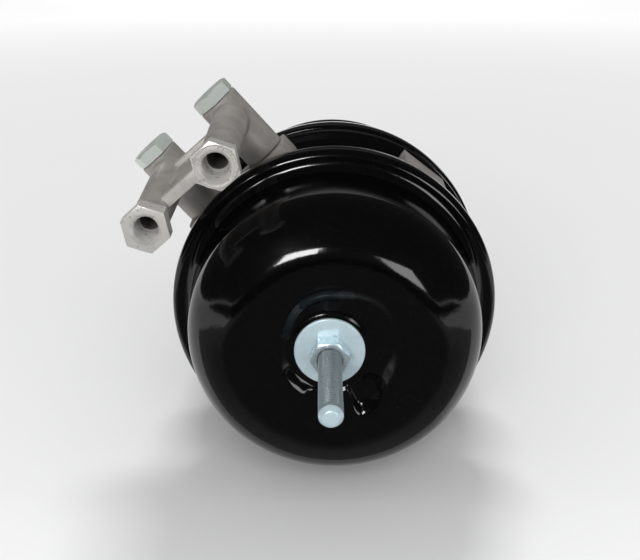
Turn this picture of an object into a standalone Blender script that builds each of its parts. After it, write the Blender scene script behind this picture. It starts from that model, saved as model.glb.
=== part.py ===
"""Spring brake cylinder: a spring chamber and a service chamber on one cast flange.

The cylinder's axis is the Y axis. The face that bolts to the brake is at Y = 0, the service
chamber stands on its -Y side, and the pressed end of the spring chamber is farthest out.
Metres, +Z up. The parking spring is caged by its release bolt, as it is delivered.
"""
import math

import bmesh
import bpy
from mathutils import Matrix, Vector

MM = 0.001
GAP = 0.3 * MM                      # clearance left between pieces that touch
RIM_CLEAR = 1.1 * MM                # clearance inside the bend of a rolled rim
EDGE = 0.8 * MM                     # broken edge of a pressed or machined piece
THREAD_LEAD = 1.5 * MM              # bevel at the end of a threaded shank
CUT_SPARE = 10 * MM                 # how far a cutter runs past what it cuts
ARC_FACET = 4.5 * MM                # a rounding gets one more facet for each of these

# The whole cylinder
LENGTH = 207 * MM                   # bolting face to the pressed end face

# Spring housing: a deep-drawn steel pan, sizes measured back from its end face
HOUSING_SHEET = 3.5 * MM
HOUSING_R = 80.4 * MM               # of the wall where it meets the rim
END_CORNER_INSET = 25.9 * MM        # the flat end stops this far inside the wall
END_CORNER_R = HOUSING_R - END_CORNER_INSET
END_FILLET = 12 * MM
SHOULDER_STEP = 1.8 * MM            # the shoulder is this much smaller than the wall
SHOULDER_R = HOUSING_R - SHOULDER_STEP
SHOULDER_DEPTH = 12 * MM
SHOULDER_FILLET = 17 * MM
RIM_ROOT_FILLET = 5 * MM
RIM_FILLET = 1.6 * MM               # the outer bends of both rolled rims
FRONT_RIM_STEP = 11.4 * MM          # the rim stands this far out from the wall
FRONT_RIM_R = HOUSING_R + FRONT_RIM_STEP
FRONT_RIM_DEPTH = 60.6 * MM
FRONT_RIM_WIDTH = 15.6 * MM
FRONT_LIP_R = FRONT_RIM_R - 2 * HOUSING_SHEET

# The spiral recess round the release bolt
RECESS_DEPTH = 5.3 * MM
RECESS_SMALL_R = 24.0 * MM
RECESS_INSET = 17.5 * MM            # its widest place stops this far inside the flat end
RECESS_LARGE_R = END_CORNER_R - RECESS_INSET
SPIRAL_START = math.radians(180)
SPIRAL_FULL = math.radians(50)
SPIRAL_STEP = math.radians(-66)
CHANNEL_WIDTH = 24 * MM
CHANNEL_DEPTH = 2 * MM
BUMP_R, BUMP_TOP_R = 6.5 * MM, 4.5 * MM
BUMP_HEIGHT = 2.6 * MM
BUMP_X, BUMP_Z = 17.7 * MM, -20.1 * MM

# Release bolt, washer and nut, standing a little beside the axis in a wide hole
RELEASE_X = -3 * MM
RELEASE_R = 6 * MM
RELEASE_REACH = 68 * MM             # thread standing in front of the washer
RELEASE_TIP, RELEASE_TIP_R = 4 * MM, 3.7 * MM
RELEASE_TIP_FILLET = 1.6 * MM
RELEASE_HOLE_R = 11 * MM
WASHER_R, WASHER_T = 18.5 * MM, 3 * MM
NUT_AF, NUT_H = 18 * MM, 10 * MM
NUT_TURN = math.radians(5)
HEX_BEVEL = math.radians(30)        # how the corners of nuts and bolt heads fall away
LUG_HALF, LUG_WIDTH, LUG_T = 10.5 * MM, 9 * MM, 7 * MM
LUG_CLEAR = 0.8 * MM

# Cast flange between the chambers, sizes measured back from the end face
WAIST_STEP = 1.6 * MM               # the waist is this much wider than the pan
WAIST_R = HOUSING_R + WAIST_STEP
WAIST_FLARE, SHOULDER_FLARE = 3 * MM, 2 * MM
SHOULDER_INSET = 1.2 * MM           # the rear rim stands this far above the casting
CASTING_WALL = 7 * MM
CAVITY_R = WAIST_R - CASTING_WALL
CORE_R = (WAIST_R + CAVITY_R) / 2
BULKHEAD_DEPTH = 112 * MM
BULKHEAD_T = 10 * MM
SHOULDER_FRONT = 116.5 * MM
REAR_RIM_DEPTH = 126 * MM
REAR_RIM_WIDTH = 15.4 * MM
REAR_RIM_R = 90 * MM
REAR_LIP_INSET = 7 * MM
REAR_LIP_R = REAR_RIM_R - REAR_LIP_INSET
DISH_INSET = 14 * MM                # the dish stops this far inside the rear rim
DISH_R = REAR_RIM_R - DISH_INSET
DISH_DRAFT = 2 * MM
COLLAR_R, COLLAR_LONG = 27 * MM, 7.5 * MM
BUSH_LIP_T, BUSH_LIP_INSET = 2 * MM, 2.2 * MM
BOSS_MARGIN = 0.9 * MM              # the boss stands this far beyond its towers
BOSS_RISE = 3.5 * MM                # top of the boss above the waist
PAD_ANGLE = math.radians(52)
PAD_RISE = 5 * MM                   # face of the pad above the waist
PAD_HALF, PAD_HIGH = 15 * MM, 10 * MM
PAD_SETBACK = 7 * MM                # front of the pad behind the front rim

# Ports: a casting on two towers, turned about the axis to the upper left
BLOCK_TURN = math.radians(-41.8)
TOWER_DEPTH = 102 * MM
TOWER_R = 12.2 * MM
TOWER_FOOT = WAIST_R + BOSS_RISE
PITCH = 47.2 * MM
LOWER_AT, UPPER_AT = -PITCH / 2, PITCH / 2
ARM_RISE = 21.7 * MM                # axis of the arms above the front rim
ARM_HEIGHT = FRONT_RIM_R + ARM_RISE
ARM_R, ARM_ROOT_R = 9.4 * MM, 10.3 * MM
TOWER_RISE = 12.5 * MM              # top of the towers above the axis of the arms
TOWER_TOP = ARM_HEIGHT + TOWER_RISE
PORT_AHEAD = 5 * MM                 # port faces stand this far in front of the end face
PORT_AF, PORT_HEX = 22 * MM, 10 * MM
LOWER_PORT_R, LOWER_MOUTH_R = 6.4 * MM, 8.1 * MM
UPPER_PORT_R, UPPER_MOUTH_R = 7.0 * MM, 8.6 * MM
UPPER_RING_R, UPPER_RING_LONG = 10.8 * MM, 1.6 * MM
PORT_THREAD, DRILL_POINT = 17 * MM, 2 * MM
PASSAGE_R, SERVICE_PASSAGE_R = 4 * MM, 2.8 * MM
WEB_T = 3.6 * MM
WEB_FRONT_DEPTH = 22 * MM
WEB_BACK_INSET = 3 * MM
BAR_T, BAR_LONG = 5.6 * MM, 4 * MM
REAR_BAR_AHEAD, REAR_BAR_RISE = 19 * MM, 1.4 * MM
GROOVE_END, GROOVE_WIDTH, GROOVE_DEPTH = 7.5 * MM, 1.4 * MM, 0.8 * MM
BANJO_R, BANJO_AF, BANJO_HEAD = 8 * MM, 22 * MM, 7 * MM
BANJO_THREAD = 6.5 * MM             # how deep the banjo bolts stand in the boss
BANJO_FOOT = TOWER_FOOT - BANJO_THREAD
BANJO_BORE_R, CROSS_HOLE_R = 4 * MM, 2.8 * MM
NECK_HALF, NECK_DEPTH = 6 * MM, 1.5 * MM

# Parking chamber: diaphragm, plate, spring, rod and the bush that guides it
RUBBER = 2.7 * MM
FOLD_FILLET, FOLD_CLEAR = 4 * MM, 1 * MM
PLATE_DEPTH = 52 * MM
PLATE_CLEAR = 7 * MM                # the plate runs this far inside the casting
PLATE_R = CAVITY_R - PLATE_CLEAR
PLATE_T, PLATE_LIP = 4 * MM, 3 * MM
FOLD_INSET = 2 * MM
SPRING_FOLD_R = PLATE_R - FOLD_INSET
HUB_R, HUB_SLOPE = 24 * MM, 2 * MM
ROD_TUBE_R, ROD_TUBE_BORE = 18 * MM, 14.8 * MM
CAP_R, CAP_T, CAP_PLUG = 24 * MM, 3.5 * MM, 6 * MM
BUSH_R = 21.5 * MM
SEAL_INSET, SEAL_GROOVE, SEAL_GROOVE_HALF, SEAL_HALF = 3.4 * MM, 2.1 * MM, 1.7 * MM, 0.9 * MM
POWER_WIRE, POWER_TURNS = 9 * MM, 3.75
POWER_INSET, POWER_FLARE = 12 * MM, 4 * MM
POWER_BACK_R = PLATE_R - POWER_INSET
POWER_FRONT_R, POWER_BARREL = POWER_BACK_R - POWER_FLARE, 9 * MM

# Service chamber: diaphragm, push plate and rod, return spring and gaiter
SERVICE_FLAT_INSET = 18 * MM
SERVICE_FLAT_R = DISH_R - SERVICE_FLAT_INSET
FLAT_DROP = 1 * MM
SERVICE_FOLD_WIDTH, SERVICE_FOLD_DEPTH, SERVICE_FOLD_FILLET = 6 * MM, 4 * MM, 2.5 * MM
PUSH_PLATE_R, PUSH_PLATE_T = 46 * MM, 3.5 * MM
PUSH_ROD_R, PUSH_ROD_FILLET = 9 * MM, 7 * MM
PUSH_ROD_REACH = 15 * MM            # rod end beyond the bolting face at rest
ROD_FOOT_R, ROD_FOOT_T = 16 * MM, 3 * MM
RETURN_WIRE, RETURN_TURNS = 4.5 * MM, 5.0
RETURN_SMALL_R, RETURN_LARGE_R = 30 * MM, 40 * MM
GAITER_WALL, GAITER_NECK, GAITER_LIFT = 1.4 * MM, 6 * MM, 5.5 * MM
GAITER_OUTER_R, GAITER_INNER_R, GAITER_FOLDS = 20 * MM, 13 * MM, 3
GAITER_LIP = 4 * MM

# Service housing, sizes measured forward from the bolting face
SERVICE_SHEET = 3 * MM
SERVICE_RIM_STEP = 10.5 * MM        # its rim stands this far out from its wall
SERVICE_R = REAR_RIM_R - SERVICE_RIM_STEP
SERVICE_END_FILLET, SERVICE_ROOT_FILLET = 6 * MM, 3 * MM
ROD_OPENING_R = 22 * MM
STUD_HALF_SPAN = 60.325 * MM
STUD_R, STUD_REACH = 8 * MM, 36 * MM
STUD_HEAD_R, STUD_HEAD_T = 9.7 * MM, 4 * MM
SERVICE_END_R = STUD_HALF_SPAN + STUD_HEAD_R + SERVICE_END_FILLET
VENT_AT = 22 * MM
VENT_R, VENT_HEAD_R = 4 * MM, 6.5 * MM
PLUG_STEM, PLUG_HEAD_T = 6 * MM, 2.1 * MM
VENT_ANGLES = {"upper_right": 45, "lower_right": 135, "lower_left": 225, "upper_left": 315}
OPEN_VENT = "lower_left"

ROUND_SIDES = 32                    # of the large turned pieces
MIDDLE_SIDES = 24                   # of the middling ones
SMALL_SIDES = 20                    # of the small ones
FINE_SIDES = 16                     # of bolts' shanks, plugs and drilled holes
COIL_STEPS = 12                     # points of a spring's line in one turn
SPIRAL_SIDES = 40                   # corners of the recess outline
MOST_ARC_STEPS = 3
SHARP = math.radians(35)            # edges sharper than this aren't smooth shaded
HEX_CORNER_TO_X = math.radians(30)  # turns a hexagon's first corner from +Y to +X
TO_PLUS_Y = (math.radians(-90), 0, 0)
TO_MINUS_Y = (math.radians(90), 0, 0)


def station(depth):
    """World Y of a place measured back from the pressed end face."""
    return depth - LENGTH


def clear_scene():
    for item in list(bpy.data.objects):
        bpy.data.objects.remove(item, do_unlink=True)


def collection(name):
    made = bpy.data.collections.new(name)
    bpy.context.scene.collection.children.link(made)
    return made


clear_scene()
PARTS = collection("spring_brake_cylinder")
CUTTERS = collection("cutters")


def material(name, colour, roughness, metallic):
    made = bpy.data.materials.new(name)
    made.use_nodes = True
    shader = made.node_tree.nodes["Principled BSDF"]
    shader.inputs["Base Color"].default_value = (*colour, 1)
    shader.inputs["Roughness"].default_value = roughness
    shader.inputs["Metallic"].default_value = metallic
    made.diffuse_color = (*colour, 1)
    return made


BLACK_PAINT = material("black_paint", (0.012, 0.012, 0.014), 0.25, 0.0)
CAST_ALUMINIUM = material("cast_aluminium", (0.42, 0.40, 0.38), 0.5, 0.9)
ZINC = material("zinc_plate", (0.62, 0.68, 0.72), 0.3, 0.95)
SPRING_STEEL = material("spring_steel", (0.05, 0.05, 0.06), 0.45, 0.6)
PLAIN_STEEL = material("plain_steel", (0.35, 0.35, 0.36), 0.4, 0.9)
RUBBER_BLACK = material("rubber", (0.02, 0.02, 0.02), 0.75, 0.0)
PLASTIC = material("plastic", (0.03, 0.03, 0.03), 0.5, 0.0)


def add(name, mesh, look, place=(0, 0, 0), turn=(0, 0, 0), parent=None):
    """Link a mesh as a named piece of the product."""
    made = bpy.data.objects.new(name, mesh)
    PARTS.objects.link(made)
    made.data.materials.append(look)
    made.location = place
    made.rotation_euler = turn
    made.parent = parent
    return made


def as_cutter(made):
    """Move a piece to the cutters, which the product leaves out."""
    for holder in list(made.users_collection):
        holder.objects.unlink(made)
    CUTTERS.objects.link(made)
    made.hide_render = True
    made.display_type = "WIRE"
    return made


def combine(piece, other, operation="DIFFERENCE"):
    step = piece.modifiers.new(operation.lower(), "BOOLEAN")
    step.operation = operation
    step.solver = "EXACT"
    step.object = other
    return piece


def arc_steps(size):
    """Fewer facets on a smaller rounding."""
    return min(MOST_ARC_STEPS, 1 + int(size / ARC_FACET))


def fillet(corners):
    """Round the corners (radius, station, fillet) of an outline with arcs."""
    line = []
    for index, (r, y, size) in enumerate(corners):
        here = Vector((r, y))
        if size == 0 or index in (0, len(corners) - 1):
            line.append(here)
            continue
        back = (Vector(corners[index - 1][:2]) - here).normalized()
        ahead = (Vector(corners[index + 1][:2]) - here).normalized()
        half = back.angle(ahead) / 2
        centre = here + (back + ahead).normalized() * size / math.sin(half)
        first = here + back * size / math.tan(half) - centre
        sweep = first.angle_signed(here + ahead * size / math.tan(half) - centre)
        steps = arc_steps(size)
        for step in range(steps + 1):
            line.append(centre + Matrix.Rotation(-sweep * step / steps, 2) @ first)
    return line


def sheet(line, thickness, side=1):
    """Closed outline of a sheet; side 1 thickens it to the left of the line's run."""
    inner = []
    for index, here in enumerate(line):
        runs = []
        if index > 0:
            runs.append((here - line[index - 1]).normalized())
        if index < len(line) - 1:
            runs.append((line[index + 1] - here).normalized())
        normals = [Vector((-run.y, run.x)) for run in runs]
        across = sum(normals, Vector((0, 0))).normalized()
        inner.append(here + across * side * thickness / across.dot(normals[0]))
    return [tuple(p) for p in line] + [tuple(p) for p in reversed(inner)]


def turned(name, outline, look, sides=ROUND_SIDES, **where):
    """Turn a closed outline of (radius, station) points round the local Z axis."""
    area = sum(a[0] * b[1] - b[0] * a[1] for a, b in zip(outline, outline[1:] + outline[:1]))
    if area > 0:
        outline = outline[::-1]
    on_axis = [k for k in range(len(outline)) if outline[k][0] == 0 and outline[k - 1][0] == 0]
    if on_axis:
        outline = outline[on_axis[0]:] + outline[:on_axis[0]]
    shape = bmesh.new()
    points = [shape.verts.new((r, 0, y)) for r, y in outline]
    for a, b in zip(points, points[1:]):
        shape.edges.new((a, b))
    if not on_axis:
        shape.edges.new((points[-1], points[0]))
    mesh = bpy.data.meshes.new(name)
    shape.to_mesh(mesh)
    shape.free()
    made = add(name, mesh, look, **where)
    screw = made.modifiers.new("turn", "SCREW")
    screw.axis = "Z"
    screw.steps = sides
    screw.render_steps = sides
    screw.use_merge_vertices = True
    screw.merge_threshold = 0.01 * MM
    screw.use_smooth_shade = True
    return made


def along_y(name, outline, look, sides=ROUND_SIDES, x=0.0):
    """A turned piece whose stations are world Y."""
    return turned(name, outline, look, sides, place=(x, 0, 0), turn=TO_PLUS_Y)


def prism(name, sides, radius, length, look, corner=0.0, top_radius=None, **where):
    """A prism or cone standing on the local XY plane; corner turns its first corner from +Y."""
    shape = bmesh.new()
    bmesh.ops.create_cone(
        shape, cap_ends=True, segments=sides, radius1=radius,
        radius2=radius if top_radius is None else top_radius, depth=length,
        matrix=Matrix.Translation((0, 0, length / 2)) @ Matrix.Rotation(corner, 4, "Z"))
    mesh = bpy.data.meshes.new(name)
    shape.to_mesh(mesh)
    shape.free()
    if sides > 6:
        mesh.shade_smooth()
        mesh.set_sharp_from_angle(angle=SHARP)
    return add(name, mesh, look, **where)


def block(name, size, look, **where):
    """A box with its middle at its origin."""
    shape = bmesh.new()
    bmesh.ops.create_cube(shape, size=1.0, matrix=Matrix.Diagonal((*size, 1)))
    mesh = bpy.data.meshes.new(name)
    shape.to_mesh(mesh)
    shape.free()
    return add(name, mesh, look, **where)


def corner_radius(across_flats):
    return across_flats / math.sqrt(3)


def bevel_hexagon(piece, name, across_flats, top, look, **where):
    """Let the corners of a nut's or bolt head's outer face fall away from a circle."""
    start, outside = across_flats / 2 - EDGE, across_flats
    fall = (outside - start) * math.tan(HEX_BEVEL)
    ring = turned(name, [(start, top + CUT_SPARE), (start, top), (outside, top - fall),
                         (outside, top + CUT_SPARE)], look, SMALL_SIDES, **where)
    combine(piece, as_cutter(ring))


def spiral_radius(angle):
    """The recess opens from its small to its large radius, then steps back."""
    if angle < SPIRAL_STEP:
        return RECESS_SMALL_R
    opened = min(1.0, (SPIRAL_START - angle) / (SPIRAL_START - SPIRAL_FULL))
    return RECESS_SMALL_R + (RECESS_LARGE_R - RECESS_SMALL_R) * opened


def spiral_slab(name, grow, front, back, look):
    """A slab with the outline of the recess, from one station to the other."""
    curve = bpy.data.curves.new(name, "CURVE")
    curve.dimensions = "2D"
    curve.fill_mode = "BOTH"
    curve.extrude = (back - front) / 2
    outline = curve.splines.new("POLY")
    turns = [SPIRAL_START - 2 * math.pi * (step + 0.5) / SPIRAL_SIDES for step in range(SPIRAL_SIDES)]
    outline.points.add(len(turns) - 1)
    for point, angle in zip(outline.points, turns):
        r = spiral_radius(angle) + grow
        point.co = (r * math.cos(angle), -r * math.sin(angle), 0, 1)
    outline.use_cyclic_u = True
    drawn = bpy.data.objects.new(name, curve)
    PARTS.objects.link(drawn)
    drawn.location = (RELEASE_X, (front + back) / 2, 0)
    drawn.rotation_euler = TO_PLUS_Y
    return as_mesh(drawn, look)


def as_mesh(drawn, look):
    """Turn a curve into a mesh piece of the same name, with its caps welded."""
    bpy.context.view_layer.update()
    mesh = bpy.data.meshes.new_from_object(drawn.evaluated_get(bpy.context.evaluated_depsgraph_get()))
    shape = bmesh.new()
    shape.from_mesh(mesh)
    bmesh.ops.remove_doubles(shape, verts=shape.verts, dist=0.001 * MM)
    bmesh.ops.recalc_face_normals(shape, faces=shape.faces)
    shape.to_mesh(mesh)
    shape.free()
    name, place = drawn.name, drawn.matrix_world.copy()
    bpy.data.objects.remove(drawn, do_unlink=True)
    mesh.materials.clear()
    made = add(name, mesh, look)
    made.matrix_world = place
    return made


def spring_housing():
    """Drawn pan with a conical end, a rim rolled over the flange and the spiral recess."""
    rim = station(FRONT_RIM_DEPTH)
    line = fillet([
        (0, station(0), 0),
        (END_CORNER_R, station(0), END_FILLET),
        (SHOULDER_R, station(SHOULDER_DEPTH), SHOULDER_FILLET),
        (HOUSING_R, rim, RIM_ROOT_FILLET),
        (FRONT_RIM_R, rim, RIM_FILLET),
        (FRONT_RIM_R, rim + FRONT_RIM_WIDTH, RIM_FILLET),
        (FRONT_LIP_R, rim + FRONT_RIM_WIDTH, 0)])
    pan = along_y("spring_housing", sheet(line, HOUSING_SHEET), BLACK_PAINT)
    press_recess(pan)
    press_channel(pan)
    hole = prism("release_hole", SMALL_SIDES, RELEASE_HOLE_R, 3 * CUT_SPARE, BLACK_PAINT,
                 place=(RELEASE_X, station(-CUT_SPARE), 0), turn=TO_PLUS_Y)
    combine(pan, as_cutter(hole))


def press_recess(pan):
    """The spiral recess, its sheet on the inside and the round dent in its floor."""
    floor = station(RECESS_DEPTH)
    back = spiral_slab("recess_back", HOUSING_SHEET, station(HOUSING_SHEET / 2),
                       floor + HOUSING_SHEET, BLACK_PAINT)
    combine(pan, as_cutter(back), "UNION")
    front = spiral_slab("recess_front", 0, station(-CUT_SPARE), floor, BLACK_PAINT)
    combine(pan, as_cutter(front))
    bump = prism("recess_bump", SMALL_SIDES, BUMP_R, BUMP_HEIGHT + HOUSING_SHEET / 2, BLACK_PAINT,
                 top_radius=BUMP_TOP_R, place=(BUMP_X, floor + HOUSING_SHEET / 2, BUMP_Z),
                 turn=TO_MINUS_Y)
    combine(pan, as_cutter(bump), "UNION")


def press_channel(pan):
    """The shallow drain channel, from the recess down to the pan's edge."""
    start = RECESS_SMALL_R / 2
    long = HOUSING_R - start
    channel = block("drain_channel", (CHANNEL_WIDTH, 2 * CHANNEL_DEPTH, long), BLACK_PAINT,
                    place=(RELEASE_X, station(0), -start - long / 2))
    combine(pan, as_cutter(channel))


def flange_body():
    """Cast flange: two rims for the housings, the waist and the bulkhead with its collar."""
    front = station(FRONT_RIM_DEPTH) + HOUSING_SHEET + RUBBER + 2 * GAP
    lip = station(FRONT_RIM_DEPTH) + FRONT_RIM_WIDTH
    rear = station(REAR_RIM_DEPTH)
    back = rear + REAR_RIM_WIDTH - SERVICE_SHEET - RUBBER - 2 * GAP
    wall, shoulder = station(BULKHEAD_DEPTH), station(SHOULDER_FRONT)
    bulk = wall + BULKHEAD_T
    front_disc = FRONT_RIM_R - HOUSING_SHEET - RIM_CLEAR
    rear_disc = REAR_RIM_R - SERVICE_SHEET - RIM_CLEAR
    shoulder_r = REAR_RIM_R - SHOULDER_INSET
    bush_lip_r = BUSH_R - BUSH_LIP_INSET
    flange = along_y("flange_body", [
        (CAVITY_R, front), (front_disc, front), (front_disc, lip - HOUSING_SHEET - GAP),
        (FRONT_LIP_R - GAP, lip - HOUSING_SHEET - GAP), (FRONT_LIP_R - GAP, lip + GAP),
        (WAIST_R, lip + WAIST_FLARE), (WAIST_R, shoulder - SHOULDER_FLARE),
        (shoulder_r, shoulder), (shoulder_r, rear - GAP),
        (REAR_LIP_R - GAP, rear - GAP), (REAR_LIP_R - GAP, rear + SERVICE_SHEET + GAP),
        (rear_disc, rear + SERVICE_SHEET + GAP), (rear_disc, back), (DISH_R, back),
        (DISH_R - DISH_DRAFT, bulk), (COLLAR_R, bulk), (COLLAR_R, bulk + COLLAR_LONG),
        (BUSH_R + GAP, bulk + COLLAR_LONG), (BUSH_R + GAP, wall + BUSH_LIP_T),
        (bush_lip_r, wall + BUSH_LIP_T), (bush_lip_r, wall), (CAVITY_R, wall)], BLACK_PAINT)
    core = as_cutter(prism("waist_core", ROUND_SIDES, CORE_R, LENGTH, BLACK_PAINT,
                           place=(0, -LENGTH, 0), turn=TO_PLUS_Y))
    add_port_boss(flange, core)
    add_bare_pad(flange, core, lip + PAD_SETBACK, (shoulder + rear) / 2)
    drill_passages(flange, (bulk + back) / 2)


def add_port_boss(flange, core):
    """Boss under the port block, with a threaded hole for each banjo bolt."""
    axis_y = station(TOWER_DEPTH)
    half = PITCH / 2 + TOWER_R + BOSS_MARGIN
    low, top = math.sqrt(CAVITY_R ** 2 - half ** 2), TOWER_FOOT - GAP
    boss = block("port_boss", (2 * half, 2 * (TOWER_R + BOSS_MARGIN), top - low), BLACK_PAINT,
                 place=(0, axis_y, (top + low) / 2), parent=BLOCK_FRAME)
    combine(flange, as_cutter(combine(boss, core)), "UNION")
    for across, name in ((LOWER_AT, "lower"), (UPPER_AT, "upper")):
        hole = prism(name + "_boss_hole", SMALL_SIDES, BANJO_R + GAP, BANJO_THREAD + CUT_SPARE,
                     BLACK_PAINT, place=(across, axis_y, BANJO_FOOT - EDGE), parent=BLOCK_FRAME)
        combine(flange, as_cutter(hole))


def add_bare_pad(flange, core, front, back):
    """Flat pad at the upper right of the waist, which the paint leaves bare."""
    middle = WAIST_R + PAD_RISE - PAD_HIGH / 2
    pad = block("bare_pad", (2 * PAD_HALF, back - front, PAD_HIGH), BLACK_PAINT,
                turn=(0, math.pi / 2 - PAD_ANGLE, 0),
                place=(math.cos(PAD_ANGLE) * middle, (front + back) / 2, math.sin(PAD_ANGLE) * middle))
    combine(flange, as_cutter(combine(pad, core)), "UNION")


def drill_passages(flange, dish_y):
    """Air ways: from the upper bolt to the parking side, from the lower one behind the bulkhead."""
    axis_y = station(TOWER_DEPTH)
    start = CAVITY_R - CUT_SPARE
    feed = prism("parking_passage", FINE_SIDES, PASSAGE_R, BANJO_FOOT - start, BLACK_PAINT,
                 place=(UPPER_AT, axis_y, start), parent=BLOCK_FRAME)
    combine(flange, as_cutter(feed))
    low = Vector((LOWER_AT, dish_y, DISH_R - 2 * PASSAGE_R))
    run = Vector((LOWER_AT, axis_y, BANJO_FOOT + SERVICE_PASSAGE_R)) - low
    slant = prism("service_passage", FINE_SIDES, SERVICE_PASSAGE_R, run.length, BLACK_PAINT,
                  place=low, turn=run.to_track_quat("Z", "Y").to_euler(), parent=BLOCK_FRAME)
    combine(flange, as_cutter(slant))


def port_block():
    """One casting: two towers, two arms with hexagonal ports and the ribbed web."""
    body = add_tower("port_block", LOWER_AT)
    combine(body, as_cutter(add_tower("upper_tower", UPPER_AT)), "UNION")
    for name, across in (("lower", LOWER_AT), ("upper", UPPER_AT)):
        add_arm(body, name, across)
    add_web(body)
    drill_port(body, "lower", LOWER_AT, LOWER_PORT_R, LOWER_MOUTH_R)
    drill_port(body, "upper", UPPER_AT, UPPER_PORT_R, UPPER_MOUTH_R)
    face = station(-PORT_AHEAD)
    ring = turned("upper_port_ring", [
        (UPPER_RING_R, CUT_SPARE), (UPPER_RING_R, -UPPER_RING_LONG),
        (UPPER_RING_R + CUT_SPARE, -UPPER_RING_LONG), (UPPER_RING_R + CUT_SPARE, CUT_SPARE)],
        CAST_ALUMINIUM, SMALL_SIDES, place=(UPPER_AT, face, ARM_HEIGHT), turn=TO_MINUS_Y,
        parent=BLOCK_FRAME)
    combine(body, as_cutter(ring))


def add_tower(name, across):
    return prism(name, SMALL_SIDES, TOWER_R, TOWER_TOP - TOWER_FOOT, CAST_ALUMINIUM,
                 place=(across, station(TOWER_DEPTH), TOWER_FOOT), parent=BLOCK_FRAME)


def add_arm(body, name, across):
    """A tapered arm from its tower to the hexagon round its port."""
    face, axis_y = station(-PORT_AHEAD), station(TOWER_DEPTH)
    arm = prism(name + "_arm", SMALL_SIDES, ARM_ROOT_R, axis_y - face - PORT_HEX / 2, CAST_ALUMINIUM,
                top_radius=ARM_R, place=(across, axis_y, ARM_HEIGHT), turn=TO_MINUS_Y,
                parent=BLOCK_FRAME)
    combine(body, as_cutter(arm), "UNION")
    port = prism(name + "_hexagon", 6, corner_radius(PORT_AF), PORT_HEX, CAST_ALUMINIUM,
                 corner=HEX_CORNER_TO_X, place=(across, face + PORT_HEX, ARM_HEIGHT),
                 turn=TO_MINUS_Y, parent=BLOCK_FRAME)
    combine(body, as_cutter(port), "UNION")


def add_web(body):
    """Web between the arms with two bars across it, each with a groove in its front."""
    axis_y = station(TOWER_DEPTH)
    front = station(WEB_FRONT_DEPTH)
    back = axis_y + TOWER_R - WEB_BACK_INSET
    web = block("web", (PITCH, back - front, WEB_T), CAST_ALUMINIUM,
                place=(0, (back + front) / 2, ARM_HEIGHT), parent=BLOCK_FRAME)
    combine(body, as_cutter(web), "UNION")
    for name, y, rise in (("front_bar", front, 0),
                          ("rear_bar", axis_y - REAR_BAR_AHEAD, REAR_BAR_RISE)):
        bar = block(name, (PITCH - 2 * EDGE, BAR_LONG, BAR_T), CAST_ALUMINIUM,
                    place=(0, y, ARM_HEIGHT + rise), parent=BLOCK_FRAME)
        combine(body, as_cutter(bar), "UNION")
        groove = block(name + "_groove", (PITCH - 2 * GROOVE_END, 2 * GROOVE_DEPTH, GROOVE_WIDTH),
                       CAST_ALUMINIUM, place=(0, y - BAR_LONG / 2, ARM_HEIGHT + rise),
                       parent=BLOCK_FRAME)
        combine(body, as_cutter(groove))


def drill_port(body, name, across, bore, mouth):
    """The port's chamfered bore, the passage behind it and the bolt's bore in the tower."""
    face, axis_y = station(-PORT_AHEAD), station(TOWER_DEPTH)
    drilled = turned(name + "_port_bore", [
        (0, CUT_SPARE), (mouth + CUT_SPARE, CUT_SPARE), (bore, bore - mouth), (bore, -PORT_THREAD),
        (PASSAGE_R, -PORT_THREAD - DRILL_POINT), (PASSAGE_R, face - axis_y), (0, face - axis_y)],
        CAST_ALUMINIUM, FINE_SIDES, place=(across, face, ARM_HEIGHT), turn=TO_MINUS_Y,
        parent=BLOCK_FRAME)
    combine(body, as_cutter(drilled))
    shaft = prism(name + "_tower_bore", FINE_SIDES, BANJO_R + GAP,
                  TOWER_TOP - TOWER_FOOT + 2 * CUT_SPARE, CAST_ALUMINIUM,
                  place=(across, axis_y, TOWER_FOOT - CUT_SPARE), parent=BLOCK_FRAME)
    combine(body, as_cutter(shaft))


def banjo_bolt(name, across, corner):
    """Hollow bolt that holds the block on its boss and carries the air through it."""
    axis_y = station(TOWER_DEPTH)
    seat = TOWER_TOP + GAP
    bolt = prism("banjo_bolt_" + name, 6, corner_radius(BANJO_AF), BANJO_HEAD, ZINC, corner=corner,
                 place=(across, axis_y, seat), parent=BLOCK_FRAME)
    bevel_hexagon(bolt, name + "_head_bevel", BANJO_AF, BANJO_HEAD, ZINC,
                  place=(across, axis_y, seat), parent=BLOCK_FRAME)
    neck_r = BANJO_R - NECK_DEPTH
    shank = turned(name + "_shank", [
        (0, seat + BANJO_HEAD / 2), (BANJO_R, seat + BANJO_HEAD / 2), (BANJO_R, ARM_HEIGHT + NECK_HALF),
        (neck_r, ARM_HEIGHT + NECK_HALF - NECK_DEPTH), (neck_r, ARM_HEIGHT - NECK_HALF + NECK_DEPTH),
        (BANJO_R, ARM_HEIGHT - NECK_HALF), (BANJO_R, BANJO_FOOT + THREAD_LEAD),
        (BANJO_R - THREAD_LEAD, BANJO_FOOT), (0, BANJO_FOOT)],
        ZINC, FINE_SIDES, place=(across, axis_y, 0), parent=BLOCK_FRAME)
    combine(bolt, as_cutter(shank), "UNION")
    bore = prism(name + "_bolt_bore", FINE_SIDES, BANJO_BORE_R,
                 ARM_HEIGHT + BANJO_BORE_R - BANJO_FOOT + CUT_SPARE, ZINC,
                 place=(across, axis_y, BANJO_FOOT - CUT_SPARE), parent=BLOCK_FRAME)
    combine(bolt, as_cutter(bore))
    cross = prism(name + "_cross_hole", FINE_SIDES, CROSS_HOLE_R, 4 * BANJO_R, ZINC,
                  place=(across, axis_y + 2 * BANJO_R, ARM_HEIGHT), turn=TO_MINUS_Y, parent=BLOCK_FRAME)
    combine(bolt, as_cutter(cross))


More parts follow.
